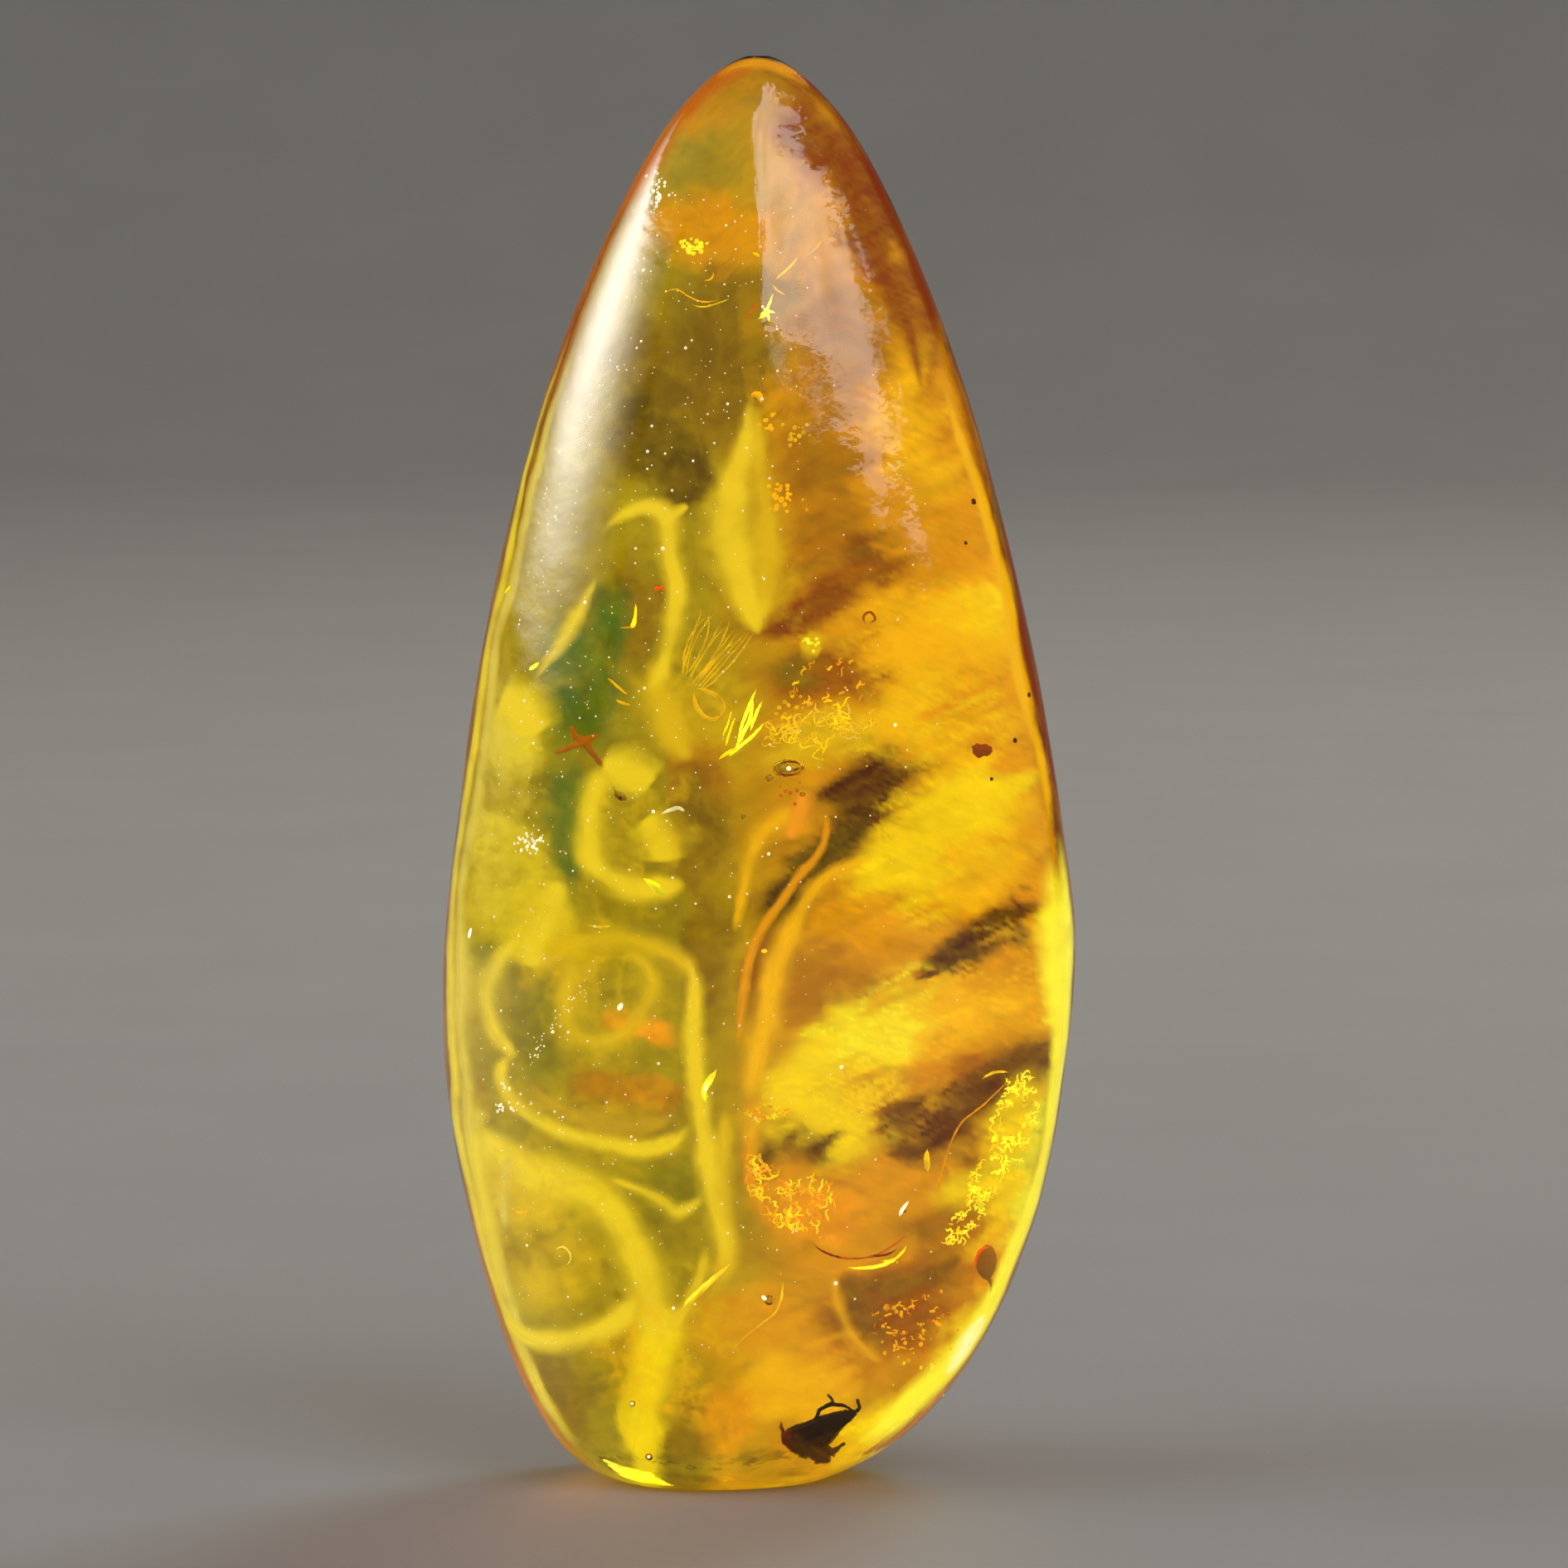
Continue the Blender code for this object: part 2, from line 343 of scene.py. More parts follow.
def put_piece(name, points, faces, material, colors=None):
    """A mesh object at the origin, from points in mm and triangles, riding on the stone with its finish."""
    mesh = bpy.data.meshes.new(name)
    points = np.asarray(points, float).reshape(-1, 3) * MM
    faces = np.asarray(faces, np.int32)
    mesh.vertices.add(len(points))
    mesh.vertices.foreach_set("co", points.astype(np.float32).ravel())
    mesh.loops.add(faces.size)
    mesh.loops.foreach_set("vertex_index", faces.ravel())
    mesh.polygons.add(len(faces))
    mesh.polygons.foreach_set("loop_start", np.arange(0, faces.size, 3, dtype=np.int32))
    mesh.polygons.foreach_set("use_smooth", np.full(len(faces), True))
    mesh.update(calc_edges=True)
    if colors is not None:
        layer = mesh.color_attributes.new("paint", "FLOAT_COLOR", "POINT")
        layer.data.foreach_set("color", np.asarray(colors, np.float32).ravel())
    mesh.materials.append(material)
    piece = linked(name, mesh)
    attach(piece, "root")
    return piece


def grid_faces(rows, columns, closed=False):
    """Two triangles between each four neighbours of a grid, whose columns may close on themselves."""
    spans = columns if closed else columns - 1
    row, column = (each.ravel() for each in np.meshgrid(np.arange(rows - 1), np.arange(spans), indexing="ij"))
    after = (column + 1) % columns
    low, low_after = row * columns + column, row * columns + after
    high, high_after = low + columns, low_after + columns
    return np.concatenate([np.stack([low, low_after, high_after], 1), np.stack([low, high_after, high], 1)])


def closed_rings(rings, first, last):
    """A closed skin over rings of points, with a point to close each end, turned outwards."""
    rows, around = rings.shape[:2]
    points = np.concatenate([rings.reshape(-1, 3), [first, last]])
    each = np.arange(around)
    after = (each + 1) % around
    count = rows * around
    start = np.stack([after, each, np.full(around, count)], 1)
    end = np.stack([each + count - around, after + count - around, np.full(around, count + 1)], 1)
    faces = np.concatenate([grid_faces(rows, around, closed=True), start, end])
    corners = points[faces]
    volume = np.einsum("ij,ij->i", corners[:, 0], np.cross(corners[:, 1], corners[:, 2])).sum()
    return points, faces if volume > 0 else faces[:, ::-1]


def square_to(line):
    """Unit vectors square to a line at each of its points: sideways, and inward into the depth."""
    ahead = np.gradient(line, axis=0)
    ahead /= np.linalg.norm(ahead, axis=1, keepdims=True) + 1e-12
    sideways = np.cross(ahead, [0.0, 1.0, 0.0])
    sideways /= np.linalg.norm(sideways, axis=1, keepdims=True) + 1e-12
    return sideways, np.cross(sideways, ahead)


def tube(line, radii, around):
    """Rings carried square along a line: sideways by the cosine of the turn and inward by its sine."""
    sideways, inward = square_to(line)
    turn = (2 * np.pi * np.arange(around) / around)[None, :, None]
    out = np.cos(turn) * sideways[:, None] + np.sin(turn) * inward[:, None]
    rings = line[:, None] + radii[:, None, None] * out
    middle = line.mean(0)
    points, faces = closed_rings(rings - middle, line[0] - middle, line[-1] - middle)
    return points + middle, faces


def ball(rise, around):
    """Rings of a unit ball: across, into the depth and up by the cosine and sine of the turn and the rise."""
    rise, turn = np.asarray(rise)[:, None], 2 * np.pi * np.arange(around)[None] / around
    return np.stack([np.cos(rise) * np.cos(turn), np.cos(rise) * np.sin(turn), np.sin(rise) + 0 * turn], -1)


def gather(parts):
    """Joins parts of points, triangles and colors into one set."""
    starts = np.cumsum([0] + [len(part[0]) for part in parts[:-1]])
    faces = np.concatenate([part[1] + start for part, start in zip(parts, starts)])
    return np.concatenate([part[0] for part in parts]), faces, np.concatenate([part[2] for part in parts])


def paint(color, cover, count):
    """The same color and cover for a number of points."""
    return np.tile(np.r_[color, cover], (count, 1))


# The clear stone

STONE_LEVELS, STONE_AROUND = 230, 220


def stone_rings():
    """Ovals from foot to tip, closer together at both ends, drawn in by slow waves of hundredths of a mm.

    Each oval is the middle plus half the width by the cosine, and half the depth by the sine, of the turn.
    The waves are products of sines of the place.
    """
    heights = (HEIGHT - TIP_CUT) * (1 - np.cos(np.pi * np.linspace(0, 1, STONE_LEVELS + 1)[:-1])) / 2
    heights = heights[:, None]
    middle, half_width, half_depth = section(heights)
    turn = 2 * np.pi * np.arange(STONE_AROUND)[None] / STONE_AROUND
    x = middle + half_width * np.cos(turn)
    y = half_depth * np.sin(turn) * (1 - LEFT_FULLER * np.cos(turn))
    y = np.where(y < 0, y * (1 + crest(x, heights)), y)
    wave = np.sin(0.55 * x + 0.31 * heights + 1.3) * np.sin(0.42 * heights - 0.8 * y + 0.4)
    wave = 1 + (wave + 0.6 * np.sin(1.1 * x - 0.7 * y + 0.5 * heights) * np.sin(0.9 * heights + 2.0)) / 1.6
    shrink = 1 - SKIN_WAVE * wave * smoothstep(0, 3, heights)
    return np.stack([middle + (x - middle) * shrink, y * shrink, np.broadcast_to(heights, x.shape)], axis=-1)


def amber_material():
    """Clear amber: greener on its left and redder on its right by painted light, with a hand-polished skin.
    """
    shader = Shader("clear amber")
    point = shader.point()
    x, _, height = shader.axes(point)
    # painted light: the tint's green left and red right stand for the left lamp's green glow and warm light
    # through the right
    side = shader.span(x + shader.noise(point, 90.0) * 0.006, -0.006, 0.012)
    tint = shader.mix(side, (0.95, 0.95, 0.60, 1.0), (1.0, 0.80, 0.40, 1.0))
    grain = shader.noise(point, 2600.0, 3.0, 0.6)
    swell = shader.noise(point, 330.0, 2.0)
    ripple = shader.noise(point, 1100.0, 2.0)
    bumps = shader.bump(grain * 0.10 + ripple * 0.35 + swell, 0.16, 0.0002)
    rough = shader.span(shader.noise(point, 420.0, 4.0, 0.65), 0.35, 0.75, 0.02, 0.07)
    clear = shader.principled(
        Base_Color=tint, Roughness=rough, IOR=AMBER_IOR, Transmission_Weight=1.0, Normal=bumps
    )
    lamp_light = shader.node("ShaderNodeBsdfTransparent", None, {"Color": (0.96, 0.86, 0.60, 1.0)})
    shadow = shader.node("ShaderNodeLightPath", output="Is Shadow Ray")
    surface = shader.node("ShaderNodeMixShader", None, {0: shadow, 1: clear, 2: lamp_light})
    strength = ABSORPTION.max() / 0.96
    inputs = {"Color": opaque(1 - ABSORPTION / strength), "Density": float(strength / MM)}
    return shader.finish(surface, shader.node("ShaderNodeVolumeAbsorption", None, inputs))


def make_stone():
    """The one clear piece that stands for both halves, closed at its foot and tip."""
    rings = stone_rings()
    points, faces = closed_rings(rings, rings[0].mean(0), rings[-1].mean(0) + (0, 0, TIP_CUT / 4))
    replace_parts(put_piece("clear_amber", points, faces, amber_material()), "amber_front", "amber_back")


# Chance patterns

LATTICE = 64  # values along a side of a chance lattice, after which it repeats
FADING = 1.7  # each finer lattice counts this much less


def drift(u, v, cell, seed, octaves=3):
    """Smooth chance heights, about -1 to 1: seeded values on square lattices, each half as coarse."""
    total, weight, size = 0, 0, LATTICE
    for octave in range(octaves):
        table = np.random.default_rng(seed * 10 + octave).uniform(-1, 1, (size, size))
        across, down = u / cell * 2**octave, v / cell * 2**octave
        column, row = np.floor(across).astype(int), np.floor(down).astype(int)
        s, t = smoothstep(0, 1, across - column), smoothstep(0, 1, down - row)
        value = (
            table[row % size, column % size] * (1 - s) * (1 - t)
            + table[row % size, (column + 1) % size] * s * (1 - t)
            + table[(row + 1) % size, column % size] * (1 - s) * t
            + table[(row + 1) % size, (column + 1) % size] * s * t
        )
        total, weight = total + value / FADING**octave, weight + 1 / FADING**octave
    return total / weight * 1.5


def oval(u, v, middle_u, middle_v, half_u, half_v, turn):
    """1 inside a soft-edged oval, turned by degrees, and 0 outside."""
    angle = math.radians(turn)
    across, down = u - middle_u, v - middle_v
    along = (across * math.cos(angle) + down * math.sin(angle)) / half_u
    aside = (down * math.cos(angle) - across * math.sin(angle)) / half_v
    return 1 - smoothstep(0.55, 1.3, np.hypot(along, aside))


# Flow sheets: thin veils in the amber, one behind the other, with clear windows and cloudy patches

GROUND_SHEETS = (0.56, 0.66, 0.76, 0.86)  # each sheet's share of the way from the front surface to the back
WISP_SHEETS = (0.32, 0.44)
GROUND_GRID, WISP_GRID = (240, 104), (380, 168)  # rows and columns of a sheet
GROUND_COVER = 0.8  # how much all ground sheets together cover where no patch says otherwise
WISP_COVER = 0.10
SHEET_TOP, SHEET_FOOT = 104, 1778
SHEET_MARGIN = 0.015  # share of the width by which a sheet stays inside the outline
SHEET_WAVE = 0.03  # share of the depth by which a sheet waves
PARTING_U = 905  # where the cloudy left turns into the fibrous right
CURL, PULL = 26, 34  # how far chance shifts the patches' edges, in curls and along the fibers
RIDGE_SHARPNESS = 2.2
STREAK_TONE, STREAK_COVER = 0.22, 0.7  # how much streaks change a ground sheet's light and its cover
WISP_DENSITY = 0.75
FIBER_TURN = math.radians(-24)  # the fibers on the right rise to the right

# Each patch: middle across and down in picture steps, half size across and down, turn, tone, and cover.
PATCHES = (
    (860, 130, 60, 45, 0, HONEY, 0.6),
    (850, 285, 75, 48, -10, HONEY, 0.8),
    (890, 350, 60, 22, 0, OLIVE, 0.7),
    (850, 450, 95, 95, 0, OLIVE, 0.35),
    (800, 535, 60, 55, 0, DEEP_OLIVE, 0.85),
    (826, 580, 26, 46, 20, DEEP_OLIVE, 0.8),
    # painted shade, this patch and the next two: the dark band down the upper right edge
    (1000, 180, 50, 60, -22, RUSSET, 0.85),
    (1046, 262, 34, 100, -22, RUSSET, 0.96),
    (1100, 395, 30, 80, -18, BRANDY, 0.8),
    (1010, 400, 60, 90, -15, TAN, 0.7),
    (1000, 560, 70, 70, 0, TAN, 0.75),
    (1115, 520, 36, 110, -14, GOLD, 0.85),
    (1160, 640, 50, 60, 0, HONEY, 0.9),
    (990, 665, 60, 52, 0, TAN, 0.85),
    (1040, 672, 40, 20, -10, BRANDY, 0.7),
    # a clear window: the amber's own brown, made dark by painted shade
    (972, 734, 58, 34, -8, RUSSET, 0.95),
    (1050, 700, 50, 20, -15, BRANDY, 0.9),
    (976, 777, 20, 16, 0, PRIMROSE, 0.9),
    (1150, 765, 110, 62, -8, GOLD, 0.97),
    (1180, 745, 60, 34, -8, BRIGHT_GOLD, 0.95),
    (1100, 860, 90, 60, -15, GOLD, 0.95),
    (1185, 870, 60, 60, 0, HONEY, 0.95),
    (1196, 655, 26, 60, -12, HONEY, 0.97),
    # a clear window: the amber's own brown, made dark by painted shade
    (1002, 824, 92, 44, -4, BRANDY, 0.98),
    (958, 818, 34, 26, 0, OLIVE, 0.85),
    (1000, 894, 66, 20, -8, PRIMROSE, 0.85),
    (1180, 955, 70, 50, 0, BRIGHT_GOLD, 0.97),
    (1110, 1030, 70, 66, 0, BRIGHT_GOLD, 0.9),
    (1190, 1040, 60, 50, -30, GOLD, 0.95),
    (988, 1032, 112, 40, -58, BOG, 0.97),
    # a clear window: the amber's own brown, made dark by painted shade
    (1042, 944, 62, 42, 0, DARK_BROWN, 0.99),
    (930, 1170, 60, 26, -75, BRANDY, 0.7),
    (1060, 1110, 66, 44, -35, HONEY, 0.92),
    (1000, 1190, 60, 40, -20, TAN, 0.9),
    (1206, 1118, 48, 30, -10, DARK_BROWN, 0.99),
    (1152, 1158, 62, 23, -38, DARK_BROWN, 0.99),
    (1222, 1150, 22, 30, 10, HONEY, 0.8),
    (1150, 1210, 90, 30, -8, GOLD, 0.95),
    (1056, 1248, 84, 44, -22, BRIGHT_GOLD, 0.98),
    (985, 1310, 70, 48, -22, BRIGHT_GOLD, 0.98),
    (1010, 1370, 50, 40, 0, BRIGHT_GOLD, 0.95),
    (1190, 1302, 120, 40, -36, SOOT, 0.98),
    (1160, 1278, 56, 18, -20, AMBER_RED, 0.6),
    (1112, 1376, 48, 46, -25, SOOT, 0.92),
    (946, 1388, 52, 26, 0, DARK_BROWN, 0.85),
    (950, 1440, 48, 52, 0, HONEY, 0.85),
    (1000, 1462, 44, 32, 0, PEACH, 0.9),
    (1075, 1440, 46, 40, 0, HONEY, 0.9),
    (1205, 1395, 44, 110, 14, BRIGHT_GOLD, 0.9),
    (1150, 1490, 70, 30, -50, TAN, 0.85),
    # a clear window: the amber's own brown, made dark by painted shade
    (1085, 1582, 92, 60, 0, BRANDY, 0.95),
    (1165, 1545, 30, 40, 20, TAN, 0.7),
    # painted light, this patch and the next two: lamp light shining through the lower right edge
    (1282, 1180, 24, 150, 5, LEMON, 0.9),
    (1255, 1380, 22, 120, 12, LEMON, 0.85),
    (1200, 1610, 36, 60, 38, BRIGHT_GOLD, 0.85),
    (900, 1600, 60, 55, 0, HONEY, 0.9),
    (960, 1675, 90, 50, 0, GOLD, 0.9),
    (1085, 1712, 80, 42, -18, BRIGHT_GOLD, 0.95),
    (710, 822, 50, 84, 0, TEAL, 0.92),
    (770, 740, 40, 70, 0, OLIVE, 0.85),
    (740, 752, 28, 54, 0, TEAL, 0.88),
    (682, 1000, 28, 84, 0, TEAL, 0.85),
    (625, 890, 40, 62, 0, CREAM, 0.9),
    (608, 1060, 50, 90, 0, CREAM, 0.8),
    (650, 1120, 40, 60, 20, CREAM, 0.85),
    (560, 1290, 20, 150, 0, CREAM, 0.85),
    (590, 1250, 40, 100, 0, MOSS, 0.8),
    (576, 1158, 20, 30, 0, SEDGE, 0.9),
    (690, 1170, 62, 48, 0, PRIMROSE, 0.8),
    (745, 1195, 46, 44, 0, MOSS, 0.85),
    (640, 1240, 30, 50, 0, SEDGE, 0.85),
    (640, 1310, 26, 30, 0, SEDGE, 0.85),
    (768, 1236, 50, 19, 8, PEACH, 0.9),
    (740, 1330, 85, 40, 0, OLIVE, 0.7),
    (765, 1312, 76, 20, 4, HONEY, 0.6),
    (640, 1330, 45, 40, 0, MOSS, 0.85),
    (800, 1430, 58, 32, 0, SEDGE, 0.85),
    (640, 1430, 60, 50, 25, PRIMROSE, 0.9),
    (580, 1440, 28, 80, 0, CREAM, 0.85),
    (670, 1535, 60, 52, 0, PRIMROSE, 0.7),
    (672, 1685, 66, 84, 0, OLIVE, 0.88),
    (784, 1700, 18, 110, 0, BRIGHT_GOLD, 0.85),
    (832, 1732, 32, 50, 0, OLIVE, 0.85),
    (880, 1720, 40, 60, 0, HONEY, 0.9),
    (860, 890, 60, 60, 0, PRIMROSE, 0.6),
    (850, 940, 50, 40, 0, TAN, 0.85),
    (850, 1010, 46, 80, 0, OLIVE, 0.85),
    (862, 1150, 26, 90, 0, OLIVE, 0.8),
)

# Where wisps show in front: middle across and down, half size, turn, tone, and how dense they are.
WISPS = (
    (850, 280, 70, 50, -10, HONEY, 0.6),
    (930, 640, 40, 120, -10, PRIMROSE, 0.5),
    (845, 840, 60, 50, 0, PRIMROSE, 0.55),
    (1000, 896, 84, 22, -10, PRIMROSE, 0.9),
    (1130, 770, 130, 70, -10, GOLD, 0.7),
    (1140, 870, 90, 60, -15, BRIGHT_GOLD, 0.5),
    (1120, 1030, 90, 70, -28, BRIGHT_GOLD, 0.7),
    (1228, 1150, 26, 40, 10, GOLD, 0.8),
    (1060, 1245, 110, 52, -22, LEMON, 0.85),
    (1000, 1320, 90, 60, -28, BRIGHT_GOLD, 0.8),
    (1110, 1310, 60, 40, -30, GOLD, 0.4),
    (1165, 1215, 90, 30, -10, GOLD, 0.7),
    (620, 900, 60, 110, 0, CREAM, 0.45),
    (680, 1150, 80, 60, 20, PRIMROSE, 0.55),
    (740, 1220, 80, 80, 0, PRIMROSE, 0.4),
    (700, 1360, 110, 50, 10, PRIMROSE, 0.4),
    (650, 1440, 70, 60, 25, PRIMROSE, 0.6),
    (780, 1640, 60, 90, 0, GOLD, 0.6),
    (860, 1560, 60, 60, 0, PRIMROSE, 0.5),
    (780, 1000, 60, 80, 0, PRIMROSE, 0.5),
    (960, 1640, 100, 60, 0, GOLD, 0.4),
)

# Where the sealed things show, and how far round them the wisps in front stay away.
SEALED_PLACES = ((985, 1722, 50), (1190, 1530, 26), (704, 896, 28), (748, 960, 12), (1183, 905, 18))
FIBER_STRETCH = 9


def fibers(u, v, cell, seed, octaves=4):
    """Chance heights drawn out along lines that rise to the right."""
    along = u * math.cos(FIBER_TURN) + v * math.sin(FIBER_TURN)
    aside = v * math.cos(FIBER_TURN) - u * math.sin(FIBER_TURN)
    return drift(along / FIBER_STRETCH, aside, cell, seed, octaves)


def frayed(u, v):
    """Picture places shifted by chance, so that ovals get cloudy edges: in curls left, along fibers right."""
    right = smoothstep(-60, 120, u - PARTING_U + 60 * drift(u, v, 120, 2))
    curl_u, curl_v = drift(u, v, 84, 3, 5), drift(u, v, 84, 4, 5)
    pull = PULL * right * fibers(u, v, 20, 5)
    frayed_u = u + CURL * curl_u + pull * math.cos(FIBER_TURN)
    frayed_v = v + CURL * curl_v + pull * math.sin(FIBER_TURN)
    return frayed_u, frayed_v, right


def ground_paint(u, v, number):
    """Tone and cover of a ground sheet: left and right grounds, then the patches with frayed edges."""
    frayed_u, frayed_v, right = frayed(u, v)
    # painted light: the green left ground and orange right ground stand for the left lamp's green glow and
    # warm light through the right
    side = smoothstep(-60, 90, frayed_u - PARTING_U)[..., None]
    color = MOSS * (1 - side) + HONEY * side
    cover = np.full(u.shape, GROUND_COVER)
    for middle_u, middle_v, half_u, half_v, turn, patch_tone, patch_cover in PATCHES:
        share = oval(frayed_u, frayed_v, middle_u, middle_v, half_u, half_v, turn)
        color = color + (patch_tone - color) * share[..., None]
        cover = cover + (patch_cover - cover) * share
    fine = fibers(u, v + 40 * number, 15, 30 + number) + 0.3 * drift(u, v, 16, 90 + number, 2)
    streaks = right * fine + (1 - right) * drift(u, v, 50, 7 + number, 4)
    sheet_cover = 1 - (1 - cover) ** (1 / len(GROUND_SHEETS))
    color = color * (1 + STREAK_TONE * streaks)[..., None]
    return color, sheet_cover * np.clip(1 + STREAK_COVER * streaks, 0.15, 2)


def wisp_paint(u, v, number):
    """Tone and cover of a wisp sheet: thin ridges of chance heights, smoke left and fibers right."""
    _, _, right = frayed(u, v)
    curled_u, curled_v = u + 40 * drift(u, v, 90, 50 + number), v + 40 * drift(u, v, 90, 60 + number)
    smoke = 1 - RIDGE_SHARPNESS * np.abs(drift(curled_u, curled_v, 60, 70 + number, 4))
    drawn = 0.6 * fibers(curled_u, curled_v, 26, 80 + number) + 0.6 * fibers(u, v, 9, 90 + number)
    streaks = 1 - RIDGE_SHARPNESS * np.abs(drawn)
    ridges = smoothstep(0.1, 1.0, smoke) * (1 - right) + smoothstep(0.0, 1.0, streaks) * right
    color, cover = np.tile(PRIMROSE, (*u.shape, 1)), np.full(u.shape, WISP_COVER)
    for middle_u, middle_v, half_u, half_v, turn, wisp_tone, density in WISPS:
        share = oval(curled_u, curled_v, middle_u, middle_v, half_u, half_v, turn)
        color = color + (wisp_tone - color) * share[..., None]
        cover = np.maximum(cover, density * share)
    for middle_u, middle_v, reach in SEALED_PLACES:
        cover = cover * smoothstep(0.8, 1.6, np.hypot(u - middle_u, v - middle_v) / reach)
    return color, WISP_DENSITY * cover * ridges


def flow_sheet(deep, number, grid, sheet_paint):
    """One sheet: a grid that fills the outline as the picture shows it, laid at its depth with slow waves."""
    rows, columns = grid
    v = np.linspace(SHEET_TOP, SHEET_FOOT, rows)[:, None]
    across = np.linspace(SHEET_MARGIN, 1 - SHEET_MARGIN, columns)[None]
    middle, half_width, _ = section(np.clip(seen_height(v) / math.cos(LOOK_DOWN), 0.3, HEIGHT - 0.3))
    u = AXIS_U + (middle + half_width * (2 * across - 1)) / STEP
    v = np.broadcast_to(v, u.shape)
    places = inside(u, v, deep + SHEET_WAVE * drift(u, v, 150, 20 + number, 2))
    color, cover = sheet_paint(u, v, number)
    edge = smoothstep(SHEET_MARGIN, 0.04, across) * smoothstep(SHEET_MARGIN, 0.04, 1 - across)
    edge = edge * smoothstep(SHEET_TOP, SHEET_TOP + 40, v) * smoothstep(SHEET_FOOT, SHEET_FOOT - 12, v)
    colors = np.concatenate([before_amber(color, places), np.clip(cover * edge, 0, 1)[..., None]], axis=-1)
    return places.reshape(-1, 3), grid_faces(*u.shape), colors.reshape(-1, 4)


def cloudy(shader, broken, cover_span, light_span):
    """Finishes cloudy resin with a painted glow for light scattered in it, its cover and glow broken up by
    chance.
    """
    cover = shader.painted("Alpha") * shader.span(broken, 0.3, 0.7, *cover_span)
    light = shader.span(broken, 0.3, 0.7, *light_span)
    return shader.finish(shader.principled(
        Base_Color=(0.0, 0.0, 0.0, 1.0), Roughness=1.0, Specular_IOR_Level=0.0, Alpha=cover,
        Emission_Color=shader.tinted(shader.painted(), shader.shade(light)), Emission_Strength=1.0,
    ))


def flow_material():
    """Thin flow sheets, broken up by grains on the left and slanting fibers on the right."""
    shader = Shader("cloudy flow")
    point = shader.point()
    x, _, _ = shader.axes(point)
    side = shader.span(x, -0.002, 0.003)
    inputs = {0: side, 4: point, 5: shader.stretched(point, 5.0, -FIBER_TURN)}
    place = shader.node("ShaderNodeMix", {"data_type": "VECTOR"}, inputs, 1)
    return cloudy(shader, shader.noise(place, 1700.0, 2.0, 0.6), (0.55, 1.45), (0.9, 1.1))


def cloud_material():
    """Cloudy ropes and lumps, softly uneven."""
    shader = Shader("cloudy resin")
    return cloudy(shader, shader.noise(shader.point(), 520.0, 2.0, 0.5), (0.75, 1.2), (0.94, 1.06))


def make_flow_sheets(material):
    """The ground sheets as one piece behind the sealed things, and each wisp sheet as a piece in front."""
    points, faces, colors = gather([
        flow_sheet(deep, number, GROUND_GRID, ground_paint) for number, deep in enumerate(GROUND_SHEETS)
    ])
    soft(put_piece("cloudy_ground", points, faces, material, colors))
    for number, deep in enumerate(WISP_SHEETS):
        points, faces, colors = flow_sheet(deep, number, WISP_GRID, wisp_paint)
        soft(put_piece(f"wisps_{number + 1}", points, faces, material, colors))


def soft(piece):
    """Lets lamp light pass, as thin cloudy resin does."""
    piece.visible_shadow = False
    piece.visible_diffuse = False


# Strands: cloudy ropes and lumps, each of three soft fins that cross on a line

FIN_TURNS = np.radians([0.0, 60.0, 120.0])
FIN_COLUMNS = 11
FIN_REACH = 1.8  # a fin fades to nothing at this many times the width that it shows
STRAND_STEPS = 12
LEAST_WIDTH = 0.6
FIN_FALL = 1.6  # how fast a fin thins out from its middle line
FIN_SHARE = 0.6  # what each of the crossed fins takes up of the strand's cover, as an exponent
FINE_RAG, SLOW_RAG = 0.06, 0.3  # mm by which chance shifts a fin's points

